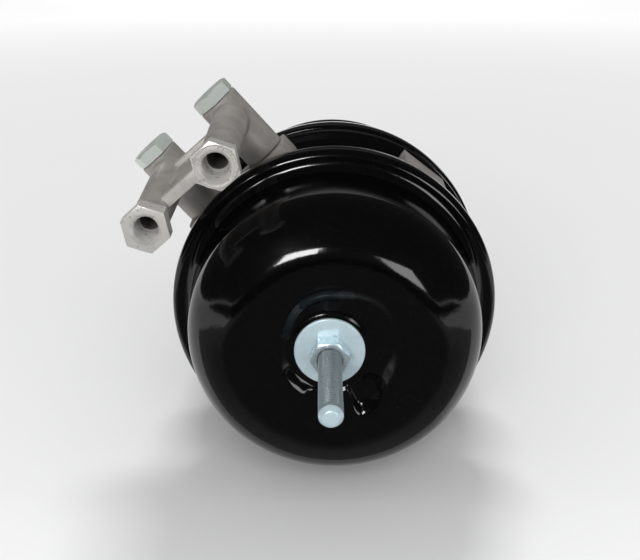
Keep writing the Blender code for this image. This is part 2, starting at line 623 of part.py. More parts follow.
def spring_diaphragm():
    """Rubber between the pressure plate and the air, clamped under the front rim."""
    plate_back = station(PLATE_DEPTH) + PLATE_T + GAP
    bead = station(FRONT_RIM_DEPTH) + HOUSING_SHEET + GAP
    line = fillet([
        (ROD_TUBE_R + 2 * GAP, plate_back, 0), (SPRING_FOLD_R, plate_back, FOLD_FILLET),
        (CAVITY_R + FOLD_CLEAR, bead, FOLD_FILLET), (FRONT_RIM_R - HOUSING_SHEET - RIM_CLEAR, bead, 0)])
    along_y("spring_diaphragm", sheet(line, RUBBER), RUBBER_BLACK, MIDDLE_SIDES)


def service_diaphragm():
    """Rubber before the push plate, clamped under the rear rim; gives the front of its flat."""
    bead = station(REAR_RIM_DEPTH) + REAR_RIM_WIDTH - SERVICE_SHEET - GAP - RUBBER
    flat = bead - FLAT_DROP
    fold = flat - SERVICE_FOLD_DEPTH
    fold_r = SERVICE_FLAT_R + SERVICE_FOLD_WIDTH
    line = fillet([
        (0, flat, 0), (SERVICE_FLAT_R, flat, FOLD_FILLET), (fold_r, fold, SERVICE_FOLD_FILLET),
        (fold_r + SERVICE_FOLD_WIDTH, fold, SERVICE_FOLD_FILLET), (DISH_R - FOLD_CLEAR, bead, EDGE),
        (REAR_RIM_R - SERVICE_SHEET - RIM_CLEAR, bead, 0)])
    along_y("service_diaphragm", sheet(line, RUBBER), RUBBER_BLACK, SMALL_SIDES)
    return flat


def pressure_plate():
    """Pressed plate under the parking spring, with the slot for the release bolt's lugs."""
    front = station(PLATE_DEPTH)
    lip_r = PLATE_R - PLATE_LIP
    plate = along_y("pressure_plate", [
        (0, front - PLATE_T), (HUB_R, front - PLATE_T), (HUB_R + HUB_SLOPE, front), (lip_r, front),
        (lip_r, front - PLATE_LIP), (PLATE_R, front - PLATE_LIP), (PLATE_R, front + PLATE_T),
        (0, front + PLATE_T)], PLAIN_STEEL, MIDDLE_SIDES)
    slot = block("lug_slot", (2 * (LUG_HALF + LUG_CLEAR), 2 * (PLATE_T + CUT_SPARE),
                              2 * (RELEASE_R + LUG_CLEAR)), PLAIN_STEEL, place=(RELEASE_X, front, 0))
    combine(plate, as_cutter(slot))


def parking_rod(cap_back):
    """Hollow rod from the pressure plate through the bulkhead, closed by a cap."""
    front = station(PLATE_DEPTH) + PLATE_T + GAP
    cap_front = cap_back - CAP_T
    along_y("parking_rod", [
        (ROD_TUBE_BORE, front), (ROD_TUBE_R, front), (ROD_TUBE_R, cap_front - GAP),
        (ROD_TUBE_BORE, cap_front - GAP)], PLAIN_STEEL, SMALL_SIDES)
    along_y("rod_cap", [
        (0, cap_front - CAP_PLUG), (ROD_TUBE_BORE - GAP, cap_front - CAP_PLUG),
        (ROD_TUBE_BORE - GAP, cap_front), (CAP_R, cap_front), (CAP_R, cap_back), (0, cap_back)],
        PLASTIC, SMALL_SIDES)


def guide_bush():
    """Plastic bush in the bulkhead with a ring seal in each of its two grooves."""
    front = station(BULKHEAD_DEPTH) + BUSH_LIP_T + GAP
    back = station(BULKHEAD_DEPTH) + BULKHEAD_T + COLLAR_LONG
    inner = ROD_TUBE_R + GAP
    groove = inner + SEAL_GROOVE
    seats = (front + SEAL_INSET, back - SEAL_INSET)
    outline = [(BUSH_R, front), (BUSH_R, back), (inner, back)]
    for seat in reversed(seats):
        outline += [(inner, seat + SEAL_GROOVE_HALF), (groove, seat + SEAL_GROOVE_HALF),
                    (groove, seat - SEAL_GROOVE_HALF), (inner, seat - SEAL_GROOVE_HALF)]
    outline.append((inner, front))
    along_y("guide_bush", outline, PLASTIC, SMALL_SIDES)
    for seat, name in zip(seats, ("front", "rear")):
        along_y("rod_seal_" + name, [
            (inner, seat), ((inner + groove) / 2, seat - SEAL_HALF), (groove - GAP, seat),
            ((inner + groove) / 2, seat + SEAL_HALF)], RUBBER_BLACK, SMALL_SIDES)


def coil(name, wire, turns, start, end, radius, look):
    """A coil round the Y axis; radius(t) gives its mean radius along the way."""
    curve = bpy.data.curves.new(name, "CURVE")
    curve.dimensions = "3D"
    curve.bevel_depth = wire / 2
    curve.bevel_resolution = 1
    curve.use_fill_caps = True
    line = curve.splines.new("POLY")
    steps = int(turns * COIL_STEPS)
    line.points.add(steps)
    for step, point in enumerate(line.points):
        t = step / steps
        angle = 2 * math.pi * turns * t
        r = radius(t)
        point.co = (r * math.cos(angle), start + (end - start) * t, r * math.sin(angle), 1)
    drawn = bpy.data.objects.new(name, curve)
    PARTS.objects.link(drawn)
    drawn.data.materials.append(look)


def power_radius(t):
    """Barrel shape: the middle turns are the widest."""
    return POWER_FRONT_R + (POWER_BACK_R - POWER_FRONT_R) * t + POWER_BARREL * math.sin(math.pi * t)


def return_radius(t):
    return RETURN_SMALL_R + (RETURN_LARGE_R - RETURN_SMALL_R) * t


def springs(plate_back):
    """Barrel-shaped parking spring and conical return spring."""
    half = POWER_WIRE / 2
    coil("power_spring", POWER_WIRE, POWER_TURNS, station(HOUSING_SHEET + GAP) + half,
         station(PLATE_DEPTH) - GAP - half, power_radius, SPRING_STEEL)
    half = RETURN_WIRE / 2
    coil("return_spring", RETURN_WIRE, RETURN_TURNS, plate_back + GAP + half,
         -SERVICE_SHEET - GAP - half, return_radius, SPRING_STEEL)


def push_rod(diaphragm_back):
    """Push plate against the diaphragm, and the rod with its rounded end."""
    front = diaphragm_back + GAP
    back = front + PUSH_PLATE_T
    along_y("push_plate", fillet([
        (0, front, 0), (PUSH_PLATE_R, front, EDGE), (PUSH_PLATE_R, back, EDGE), (0, back, 0)]),
        PLAIN_STEEL, MIDDLE_SIDES)
    foot = back + GAP
    along_y("push_rod", fillet([
        (0, foot, 0), (ROD_FOOT_R, foot, 0), (ROD_FOOT_R, foot + ROD_FOOT_T, EDGE),
        (PUSH_ROD_R, foot + ROD_FOOT_T + EDGE, EDGE), (PUSH_ROD_R, PUSH_ROD_REACH, PUSH_ROD_FILLET),
        (0, PUSH_ROD_REACH, 0)]), ZINC, SMALL_SIDES)
    return back


def rod_gaiter(plate_back):
    """Rubber bellows from the rod's foot to the opening in the bolting face."""
    start = plate_back + GAP + GAITER_LIFT
    end = -SERVICE_SHEET - GAP
    neck = PUSH_ROD_R + GAP
    pitch = (end - start - GAITER_NECK - GAITER_LIP) / GAITER_FOLDS
    corners = [(neck, start), (neck, start + GAITER_NECK)]
    for fold in range(GAITER_FOLDS):
        y = start + GAITER_NECK + pitch * (fold + 0.5)
        corners += [(GAITER_OUTER_R, y), (GAITER_INNER_R, y + pitch / 2)]
    corners += [((GAITER_OUTER_R + GAITER_INNER_R) / 2, end), (ROD_OPENING_R + GAITER_LIP, end)]
    line = [Vector(corner) for corner in corners]
    along_y("rod_gaiter", sheet(line, GAITER_WALL, side=-1), RUBBER_BLACK, FINE_SIDES)


def service_housing():
    """Drawn steel cup with a rolled rim, the rod opening, stud holes and breather holes."""
    rim_front = station(REAR_RIM_DEPTH)
    rim_back = rim_front + REAR_RIM_WIDTH
    line = fillet([
        (ROD_OPENING_R, 0, 0), (SERVICE_END_R, 0, SERVICE_END_FILLET),
        (SERVICE_R, rim_back, SERVICE_ROOT_FILLET), (REAR_RIM_R, rim_back, RIM_FILLET),
        (REAR_RIM_R, rim_front, RIM_FILLET), (REAR_LIP_R, rim_front, 0)])
    cup = along_y("service_housing", sheet(line, SERVICE_SHEET, side=-1), BLACK_PAINT)
    for side, name in ((-1, "left"), (1, "right")):
        hole = prism(name + "_stud_hole", SMALL_SIDES, STUD_R + GAP, 2 * CUT_SPARE, BLACK_PAINT,
                     place=(side * STUD_HALF_SPAN, -CUT_SPARE, 0), turn=TO_PLUS_Y)
        combine(cup, as_cutter(hole))
    for name, angle in VENT_ANGLES.items():
        vent = turned(name + "_vent", [(0, -CUT_SPARE), (VENT_R, -CUT_SPARE), (VENT_R, CUT_SPARE),
                                       (0, CUT_SPARE)], BLACK_PAINT, FINE_SIDES, **square_to_wall(angle))
        combine(cup, as_cutter(vent))


def square_to_wall(angle):
    """Place and turn of a breather hole, whose Z stands square to the cup's sloping wall."""
    long = -station(REAR_RIM_DEPTH) - REAR_RIM_WIDTH
    slope = (SERVICE_R - SERVICE_END_R) / long
    r = SERVICE_END_R + slope * VENT_AT
    turn = math.radians(angle)
    return {"place": (r * math.sin(turn), -VENT_AT, r * math.cos(turn)),
            "turn": (-math.atan(slope), turn, 0)}


def vent_plugs():
    """Plugs in three of the four breather holes; the lowest one in use stays open."""
    stem = VENT_R - GAP
    for name, angle in VENT_ANGLES.items():
        if name != OPEN_VENT:
            turned("vent_plug_" + name, [
                (0, -PLUG_STEM), (stem, -PLUG_STEM), (stem, GAP), (VENT_HEAD_R, GAP),
                (VENT_HEAD_R - EDGE, GAP + PLUG_HEAD_T), (0, GAP + PLUG_HEAD_T)],
                PLASTIC, FINE_SIDES, **square_to_wall(angle))


def studs():
    """Two bolting studs with their heads inside the housing."""
    seat = -SERVICE_SHEET - GAP
    for side, name in ((-1, "left"), (1, "right")):
        along_y("stud_" + name, [
            (0, seat - STUD_HEAD_T), (STUD_HEAD_R, seat - STUD_HEAD_T), (STUD_HEAD_R, seat),
            (STUD_R, seat), (STUD_R, STUD_REACH - THREAD_LEAD), (STUD_R - THREAD_LEAD, STUD_REACH),
            (0, STUD_REACH)], ZINC, SMALL_SIDES, x=side * STUD_HALF_SPAN)


def release_washer(front):
    bore = RELEASE_R + GAP
    along_y("release_washer", [
        (bore, front), (WASHER_R - EDGE / 2, front), (WASHER_R, front + EDGE / 2),
        (WASHER_R, front + WASHER_T), (bore, front + WASHER_T)], ZINC, MIDDLE_SIDES, x=RELEASE_X)


def release_nut(seat):
    nut = prism("release_nut", 6, corner_radius(NUT_AF), NUT_H, ZINC, corner=HEX_CORNER_TO_X,
                place=(RELEASE_X, seat, 0), turn=(TO_MINUS_Y[0], -NUT_TURN, 0))
    bevel_hexagon(nut, "nut_bevel", NUT_AF, NUT_H, ZINC, place=(RELEASE_X, seat, 0), turn=TO_MINUS_Y)
    bore = prism("nut_bore", SMALL_SIDES, RELEASE_R + GAP, NUT_H + 2 * CUT_SPARE, ZINC,
                 place=(RELEASE_X, seat + CUT_SPARE, 0), turn=TO_MINUS_Y)
    combine(nut, as_cutter(bore))


def release_bolt(washer_front):
    """Threaded bolt whose lugs hook under the pressure plate and hold the spring caged."""
    tip = washer_front - RELEASE_REACH
    lug_front = station(PLATE_DEPTH) + PLATE_T + GAP
    bolt = along_y("release_bolt", fillet([
        (0, tip - RELEASE_TIP, 0), (RELEASE_TIP_R, tip - RELEASE_TIP, RELEASE_TIP_FILLET),
        (RELEASE_R, tip, RELEASE_TIP_FILLET), (RELEASE_R, lug_front + LUG_T, 0),
        (0, lug_front + LUG_T, 0)]), ZINC, SMALL_SIDES, x=RELEASE_X)
    lugs = block("release_lugs", (LUG_WIDTH, LUG_T, 2 * LUG_HALF), ZINC,
                 place=(RELEASE_X, lug_front + LUG_T / 2 + GAP, 0))
    combine(bolt, as_cutter(lugs), "UNION")


BLOCK_FRAME = bpy.data.objects.new("block_frame", None)
PARTS.objects.link(BLOCK_FRAME)
BLOCK_FRAME.rotation_euler = (0, BLOCK_TURN, 0)

spring_housing()
flange_body()
port_block()
banjo_bolt("lower", LOWER_AT, HEX_CORNER_TO_X)
banjo_bolt("upper", UPPER_AT, 0.0)
spring_diaphragm()
service_flat = service_diaphragm()
pressure_plate()
parking_rod(service_flat - GAP)
guide_bush()
plate_back_y = push_rod(service_flat + RUBBER)
springs(plate_back_y)
rod_gaiter(plate_back_y)
service_housing()
vent_plugs()
studs()
washer_y = station(RECESS_DEPTH) - GAP - WASHER_T
release_washer(washer_y)
release_nut(washer_y - GAP)
release_bolt(washer_y)
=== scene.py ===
"""Looks of the spring brake cylinder: finer pieces, finishes, light and camera round its CAD frame."""
import math

import bmesh
import bpy
from mathutils import Matrix, Vector


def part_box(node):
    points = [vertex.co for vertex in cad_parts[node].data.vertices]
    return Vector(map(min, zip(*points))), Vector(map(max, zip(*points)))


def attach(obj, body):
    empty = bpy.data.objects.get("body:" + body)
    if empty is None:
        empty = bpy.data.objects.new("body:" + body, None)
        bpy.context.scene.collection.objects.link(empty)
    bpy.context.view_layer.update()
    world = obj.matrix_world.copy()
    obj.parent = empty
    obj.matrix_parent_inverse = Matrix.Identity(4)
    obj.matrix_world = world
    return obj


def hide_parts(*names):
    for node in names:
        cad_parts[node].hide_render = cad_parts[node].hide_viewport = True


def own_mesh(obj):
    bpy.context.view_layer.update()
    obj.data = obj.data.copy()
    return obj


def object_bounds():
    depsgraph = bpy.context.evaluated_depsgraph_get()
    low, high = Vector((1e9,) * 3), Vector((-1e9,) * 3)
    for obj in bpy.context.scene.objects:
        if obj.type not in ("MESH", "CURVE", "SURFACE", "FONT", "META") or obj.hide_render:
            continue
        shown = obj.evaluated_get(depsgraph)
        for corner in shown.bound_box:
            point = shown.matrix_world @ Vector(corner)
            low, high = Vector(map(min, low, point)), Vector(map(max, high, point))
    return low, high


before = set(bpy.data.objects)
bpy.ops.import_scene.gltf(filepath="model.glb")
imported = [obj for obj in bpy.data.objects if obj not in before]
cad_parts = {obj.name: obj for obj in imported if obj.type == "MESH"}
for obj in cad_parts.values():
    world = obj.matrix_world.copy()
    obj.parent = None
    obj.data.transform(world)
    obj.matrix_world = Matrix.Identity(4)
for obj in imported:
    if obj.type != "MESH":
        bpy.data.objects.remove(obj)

cad_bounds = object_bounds()
MM = 0.001

# Camera: it stands 43 cm in front of the release bolt's tip and 24 cm above its axis, and looks
# down along the cylinder with the long lens of a product photograph.
CAMERA_PLACE = (-0.0080, -0.7050, 0.2365)
CAMERA_TILT = math.radians(68.544)
CAMERA_LENS = 60.04
CAMERA_SENSOR = 36.0

photo_view = bpy.data.cameras.new("photo_view")
photo_view.sensor_width = CAMERA_SENSOR
photo_view.lens = CAMERA_LENS
camera = bpy.data.objects.new("camera", photo_view)
camera.location = CAMERA_PLACE
camera.rotation_euler = (CAMERA_TILT, 0, 0)
bpy.context.scene.collection.objects.link(camera)
bpy.context.scene.camera = camera
bpy.context.scene.view_settings.view_transform = "Standard"


# Floor: a sheet of polished white acrylic that the cylinder lies on. It shines a little by itself
# for the camera and in reflections, more with the distance, so it is nearly white far away.
FLOOR_SIZE = 6.0
FLOOR_MIDDLE_Y = 0.6
FLOOR_LEVEL = cad_bounds[0][2]
ACRYLIC_COLOUR = (0.86, 0.86, 0.865)
ACRYLIC_ROUGHNESS = 0.18
ACRYLIC_SPECULAR = 0.3
ACRYLIC_SHINE = 0.74


def shader_of(look):
    return look.node_tree.nodes["Principled BSDF"]


def finish(name, colour, roughness, metallic=0.0):
    """A new material with one colour all over, for the other functions to work on."""
    look = bpy.data.materials.new(name)
    look.use_nodes = True
    look.diffuse_color = (*colour, 1)
    shader = shader_of(look)
    shader.inputs["Base Color"].default_value = (*colour, 1)
    shader.inputs["Roughness"].default_value = roughness
    shader.inputs["Metallic"].default_value = metallic
    return look


def show(name, shape, *looks):
    """Make a mesh piece of a bmesh."""
    mesh = bpy.data.meshes.new(name)
    shape.to_mesh(mesh)
    shape.free()
    for look in looks:
        mesh.materials.append(look)
    piece = bpy.data.objects.new(name, mesh)
    bpy.context.scene.collection.objects.link(piece)
    return piece


def faded_distance(look, middle, reach, inner, low, high, fade="SMOOTHSTEP"):
    """A value by the distance from a place, in units of reach: low up to inner, high from 1 on."""
    where = look.node_tree.nodes.new("ShaderNodeTexCoord")
    centre = look.node_tree.nodes.new("ShaderNodeMapping")
    centre.inputs["Location"].default_value = tuple(-c / r for c, r in zip(middle, reach))
    centre.inputs["Scale"].default_value = tuple(1 / r for r in reach)
    far = look.node_tree.nodes.new("ShaderNodeVectorMath")
    far.operation = "LENGTH"
    ramp = look.node_tree.nodes.new("ShaderNodeMapRange")
    ramp.interpolation_type = fade
    for key, number in (("From Min", inner), ("From Max", 1.0), ("To Min", low), ("To Max", high)):
        ramp.inputs[key].default_value = number
    look.node_tree.links.new(where.outputs["Object"], centre.inputs["Vector"])
    look.node_tree.links.new(centre.outputs["Vector"], far.inputs[0])
    look.node_tree.links.new(far.outputs["Value"], ramp.inputs["Value"])
    return ramp.outputs["Result"]


def ray_share(tree, *kinds):
    """1 for rays of these kinds and 0 for all others."""
    rays = tree.nodes.new("ShaderNodeLightPath")
    share = rays.outputs[kinds[0]]
    for kind in kinds[1:]:
        either = tree.nodes.new("ShaderNodeMath")
        either.operation = "MAXIMUM"
        tree.links.new(share, either.inputs[0])
        tree.links.new(rays.outputs[kind], either.inputs[1])
        share = either.outputs["Value"]
    return share


def card_shape(width, length, place):
    """A flat rectangle, width along X and length along Y before it is placed."""
    card = bmesh.new()
    bmesh.ops.create_grid(card, x_segments=1, y_segments=1, size=0.5,
                          matrix=place @ Matrix.Diagonal((width, length, 1, 1)))
    return card


acrylic = finish("white_acrylic", ACRYLIC_COLOUR, ACRYLIC_ROUGHNESS)
shader_of(acrylic).inputs["Specular IOR Level"].default_value = ACRYLIC_SPECULAR
shader_of(acrylic).inputs["Emission Color"].default_value = (1, 1, 1, 1)
shine = acrylic.node_tree.nodes.new("ShaderNodeMath")
shine.operation = "MULTIPLY"
acrylic.node_tree.links.new(
    ray_share(acrylic.node_tree, "Is Camera Ray", "Is Glossy Ray"), shine.inputs[0])
acrylic.node_tree.links.new(
    faded_distance(acrylic, middle=(0, -0.05, FLOOR_LEVEL), reach=(1.85, 1.85, 1.85), inner=0.065,
                   low=0.0, high=ACRYLIC_SHINE, fade="LINEAR"), shine.inputs[1])
acrylic.node_tree.links.new(shine.outputs["Value"], shader_of(acrylic).inputs["Emission Strength"])
floor_shape = card_shape(FLOOR_SIZE, FLOOR_SIZE, Matrix.Translation((0, FLOOR_MIDDLE_Y, FLOOR_LEVEL)))
show("floor", floor_shape, acrylic)


# What the gloss paint reflects: a dim studio that is bright low down at its far end, two dark
# cards on the table in front, and a strip high at the far end. Only reflections see them.
STUDIO_R = 3.0
HIGH_STRIP_PLACE = (0, 2.4, 1.45)
QUARTER_TURN = Matrix.Rotation(math.radians(90), 4, "X")


def glow(name):
    """A material that only shines; gives it and its strength's socket."""
    look = bpy.data.materials.new(name)
    look.use_nodes = True
    look.node_tree.nodes.clear()
    end = look.node_tree.nodes.new("ShaderNodeOutputMaterial")
    emission = look.node_tree.nodes.new("ShaderNodeEmission")
    look.node_tree.links.new(emission.outputs["Emission"], end.inputs["Surface"])
    return look, emission.inputs["Strength"]


def faded_glow(name, **fading):
    """A material that shines by the distance from a place."""
    look, strength = glow(name)
    look.node_tree.links.new(faded_distance(look, **fading), strength)
    return look


def only_reflected(name, shape, cloth):
    """Stage a card that only reflections see."""
    card = show(name, shape, cloth)
    card.visible_camera = False
    card.visible_diffuse = False
    card.visible_shadow = False
    card.visible_transmission = False


studio_cloth = faded_glow("studio_cloth", middle=(0, STUDIO_R, -0.55), reach=(2.0, 2.0, 0.65),
                          inner=0.70, low=1.0, high=0.045)
studio_shape = bmesh.new()
bmesh.ops.create_uvsphere(studio_shape, u_segments=32, v_segments=16, radius=STUDIO_R)
only_reflected("dim_studio", studio_shape, studio_cloth)

near_cloth = faded_glow("near_cloth", middle=(0, -0.44, FLOOR_LEVEL), reach=(0.34, 0.27, 0.27),
                        inner=0.70, low=0.075, high=0.24)
far_cloth, far_strength = glow("far_cloth")
far_strength.default_value = 0.02
for name, width, near, far, lift, cloth in (
        ("near_table", 0.80, -0.20, -1.00, 1 * MM, near_cloth),
        ("far_table", 3.00, -0.62, -2.60, 2 * MM, far_cloth)):
    place = Matrix.Translation((0, (near + far) / 2, FLOOR_LEVEL + lift))
    only_reflected(name, card_shape(width, near - far, place), cloth)

high_cloth = faded_glow("high_cloth", middle=HIGH_STRIP_PLACE, reach=(3.0, 3.0, 0.50),
                        inner=0.15, low=0.32, high=0.045)
place = Matrix.Translation(HIGH_STRIP_PLACE) @ QUARTER_TURN
only_reflected("high_strip", card_shape(3.4, 1.0, place), high_cloth)


# Lamps: two soft boxes in front, a bright one at the left and a weak one at the right, whose
# mirror images are the highlights, and two fills, from behind and in front, that leave none.
def soft_box(name, place, towards, width, height, radiance, reflected=True):
    """A rectangular lamp of an even radiance, aimed at a place."""
    light = bpy.data.lights.new(name, "AREA")
    light.shape = "RECTANGLE"
    light.size = width
    light.size_y = height
    light.energy = radiance * math.pi * width * height
    lamp = bpy.data.objects.new(name, light)
    lamp.location = place
    lamp.rotation_euler = (Vector(towards) - Vector(place)).to_track_quat("-Z", "Y").to_euler()
    lamp.visible_camera = False
    lamp.visible_glossy = reflected
    bpy.context.scene.collection.objects.link(lamp)


soft_box("left_box", (-0.35, -1.46, 0.46), towards=(0, -0.2, 0.05), width=0.42, height=0.29, radiance=20)
soft_box("right_box", (0.62, -1.35, 0.20), towards=(0, -0.2, 0.05), width=0.46, height=0.36, radiance=4.2)
soft_box("back_fill", (0, 0.60, 1.40), towards=(0, -1.0, 0), width=0.5, height=0.3, radiance=27,
         reflected=False)
soft_box("front_fill", (0.1, -1.50, 1.00), towards=(0, -0.5, 0), width=0.8, height=0.6, radiance=4,
         reflected=False)


# Surround: an even white room that lights everything softly. What looks past the floor sees it
# nearly white, while reflections meet the dim studio first.
SURROUND_LIGHT = 0.40
SURROUND_SEEN = 0.97

surround = bpy.data.worlds.new("surround")
surround.use_nodes = True
bpy.context.scene.world = surround
sky = surround.node_tree.nodes["Background"]
sky.inputs["Color"].default_value = (1, 1, 1, 1)
level = surround.node_tree.nodes.new("ShaderNodeMapRange")
level.inputs["To Min"].default_value = SURROUND_LIGHT
level.inputs["To Max"].default_value = SURROUND_SEEN
surround.node_tree.links.new(
    ray_share(surround.node_tree, "Is Camera Ray", "Is Glossy Ray", "Is Transmission Ray"),
    level.inputs["Value"])
surround.node_tree.links.new(level.outputs["Result"], sky.inputs["Strength"])


# Spring housing: a pan drawn from steel sheet, with a flat end, a sloping shoulder and a rim
# rolled over the flange, painted gloss black. Its end is pressed in round the release bolt.
SHEET = 3.5 * MM
END_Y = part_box("spring_housing")[0].y
RIM_BACK_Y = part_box("spring_housing")[1].y
RIM_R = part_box("spring_housing")[1].x
RIM_FRONT_Y = RIM_BACK_Y - 15.6 * MM
RIM_CROWN = 1.0 * MM
CROWN_LONG = 8 * MM
RIM_EDGE = 1.8 * MM
LIP_R = 84.8 * MM
WALL_R = 80.4 * MM
END_R = 54.5 * MM
END_FILLET = 23 * MM
SHOULDER_R = 78.6 * MM
SHOULDER_Y = END_Y + 12 * MM
SHOULDER_FILLET = 24 * MM
HOLE_R = 11 * MM
PAN_SIDES = 300
FINE_R = 53 * MM
FINE_STEP = 0.75 * MM
COARSE_STEP = 4 * MM

# The bolt's axis lies beside the pan's, and the rings of the flat end move over to it.
BOLT_X = -3 * MM
MOVED_R = 44 * MM
MOVED_RUN = 32 * MM

# The recess is deep round the bolt, and opens clockwise in two lobes up to a step. Its outline is
# given by angles, in degrees, and the distance of its edge from the bolt, in millimetres.
RECESS_DEPTH = 4.2 * MM
RECESS_WALL = 9 * MM
RECESS_CORE = 24 * MM
RECESS_OUTLINE = ((180, 23.0), (90, 32.0), (39, 36.8), (-22, 32.9), (-66, 37.4))
RECESS_STEP = math.radians(-66)
STEP_WALL = 3.4 * MM
SEAT_R = 20.5 * MM
SEAT_WALL = 1.6 * MM
SEAT_RISE = 0.9 * MM
DENT_X = 17.7 * MM
DENT_Z = -20.1 * MM
DENT_R = 5.6 * MM
DENT_WALL = 5 * MM
DENT_RISE = 0.9 * MM
CHANNEL_HALF = 12 * MM
CHANNEL_WALL = 4.5 * MM
CHANNEL_DEPTH = 2 * MM
CHANNEL_END = 60 * MM
CHANNEL_RUN = 26 * MM
PRESSED_R = 70 * MM
PRESSED_LONG = 6 * MM
SOFTENED_R = 50 * MM
SOFTENINGS = 6


def noise(look, **settings):
    """A noise of a material, read by the piece's own coordinates."""
    made = look.node_tree.nodes.new("ShaderNodeTexNoise")
    where = look.node_tree.nodes.new("ShaderNodeTexCoord")
    look.node_tree.links.new(where.outputs["Object"], made.inputs["Vector"])
    for key, value in settings.items():
        made.inputs[key.replace("_", " ").title()].default_value = value
    return made.outputs["Fac"]


def stretch(look, value, low, high, to_low, to_high):
    """Map a value from one range to another, with its ends held."""
    ramp = look.node_tree.nodes.new("ShaderNodeMapRange")
    look.node_tree.links.new(value, ramp.inputs["Value"])
    for key, number in (("From Min", low), ("From Max", high), ("To Min", to_low), ("To Max", to_high)):
        ramp.inputs[key].default_value = number
    return ramp.outputs["Result"]


def tint(look, share, colour):
    """Mix another colour over the base colour by a share from 0 to 1."""
    mix = look.node_tree.nodes.new("ShaderNodeMixRGB")
    base = shader_of(look).inputs["Base Color"]
    if base.is_linked:
        look.node_tree.links.new(base.links[0].from_socket, mix.inputs["Color1"])
    else:
        mix.inputs["Color1"].default_value = base.default_value
    mix.inputs["Color2"].default_value = (*colour, 1)
    look.node_tree.links.new(share, mix.inputs["Fac"])
    look.node_tree.links.new(mix.outputs["Color"], base)


def relief(look, height, distance):
    """Add a height, in metres at full value, to the surface."""
    bump = look.node_tree.nodes.new("ShaderNodeBump")
    bump.inputs["Strength"].default_value = 1.0
    bump.inputs["Distance"].default_value = distance
    normal = shader_of(look).inputs["Normal"]
    if normal.is_linked:
        look.node_tree.links.new(normal.links[0].from_socket, bump.inputs["Normal"])
    look.node_tree.links.new(height, bump.inputs["Height"])
    look.node_tree.links.new(bump.outputs["Normal"], normal)


def uneven_gloss(look, cloud, low, high):
    """Let a cloudy texture vary the roughness."""
    look.node_tree.links.new(stretch(look, cloud, 0.3, 0.7, low, high), shader_of(look).inputs["Roughness"])


def gloss_paint(name, ripple):
    """Black stove enamel: faint ripple, uneven gloss and fine dust."""
    look = finish(name, (0.0010, 0.0009, 0.0011), 0.1)
    shader_of(look).inputs["Specular IOR Level"].default_value = 0.55
    relief(look, noise(look, scale=ripple, detail=2.0), 0.02 * MM)
    uneven_gloss(look, noise(look, scale=22.0, detail=4.0), 0.07, 0.13)
    dust = noise(look, scale=2600.0, detail=1.0)
    tint(look, stretch(look, dust, 0.72, 0.80, 0.0, 0.5), (0.10, 0.10, 0.10))
    return look


HOUSING_PAINT = gloss_paint("housing_paint", ripple=420.0)


def rounded(corners, steps):
    """Round the corners (radius, y, fillet) of an outline with arcs."""
    line = []
    for index, (r, y, size) in enumerate(corners):
        here = Vector((r, y))
        if size == 0 or index in (0, len(corners) - 1):
            line.append(here)
            continue
        back = (Vector(corners[index - 1][:2]) - here).normalized()
        ahead = (Vector(corners[index + 1][:2]) - here).normalized()
        half = back.angle(ahead) / 2
        centre = here + (back + ahead).normalized() * size / math.sin(half)
        first = here + back * size / math.tan(half) - centre
        sweep = first.angle_signed(here + ahead * size / math.tan(half) - centre)
        for step in range(steps + 1):
            line.append(centre + Matrix.Rotation(-sweep * step / steps, 2) @ first)
    return line


def turn_line(line, sides, closed=False):
    """Spin an outline of (radius, y) round the Y axis."""
    shape = bmesh.new()
    points = [shape.verts.new((r, y, 0)) for r, y in line]
    edges = [shape.edges.new(pair) for pair in zip(points, points[1:])]
    if closed:
        edges.append(shape.edges.new((points[-1], points[0])))
    bmesh.ops.spin(shape, geom=points + edges, cent=(0, 0, 0), axis=(0, 1, 0),
                   angle=math.tau, steps=sides, use_merge=True)
    bmesh.ops.remove_doubles(shape, verts=shape.verts, dist=0.002 * MM)
    bmesh.ops.recalc_face_normals(shape, faces=shape.faces)
    return shape


def dress(piece, body, slot, *nodes):
    """Shade a piece, set it on its body and let it stand for its CAD nodes."""
    piece.data.shade_smooth()
    piece.data.set_sharp_from_angle(angle=math.radians(35))
    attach(piece, body)
    if nodes:
        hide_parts(*nodes)


def ease(value):
    """A smooth step from 0 to 1."""
    value = min(1.0, max(0.0, value))
    return value * value * (3 - 2 * value)


def within(distance, edge, wall):
    """1 inside an edge and 0 outside it, with a soft wall of some width between."""
    return ease((edge - distance) / wall + 0.5)


def outline_radius(angle):
    """Where the recess ends, seen from the bolt at an angle in degrees."""
    for (a, ra), (b, rb) in zip(RECESS_OUTLINE, RECESS_OUTLINE[1:]):
        if angle >= b:
            return (rb + (ra - rb) * ease((angle - b) / (a - b))) * MM
    return RECESS_OUTLINE[-1][1] * MM


def pressed_in(x, z):
    """How deep the end face is pressed in at a place."""
    aside = x - BOLT_X
    r = math.hypot(aside, z)
    angle = math.atan2(z, aside)
    lobe = within(r, outline_radius(math.degrees(angle)), RECESS_WALL)
    if abs(angle - RECESS_STEP) < math.pi / 2:
        lobe *= ease(r * math.sin(angle - RECESS_STEP) / STEP_WALL + 0.5)
    elif angle < RECESS_STEP:
        lobe = 0.0
    depth = RECESS_DEPTH * max(within(r, RECESS_CORE, RECESS_WALL), lobe)
    depth -= DENT_RISE * within(math.hypot(x - DENT_X, z - DENT_Z), DENT_R, DENT_WALL)
    depth -= SEAT_RISE * within(r, SEAT_R, SEAT_WALL)
    if z < 0:
        channel = within(abs(aside), CHANNEL_HALF, CHANNEL_WALL) * ease((CHANNEL_END + z) / CHANNEL_RUN)
        depth = max(depth, CHANNEL_DEPTH * channel)
    return depth


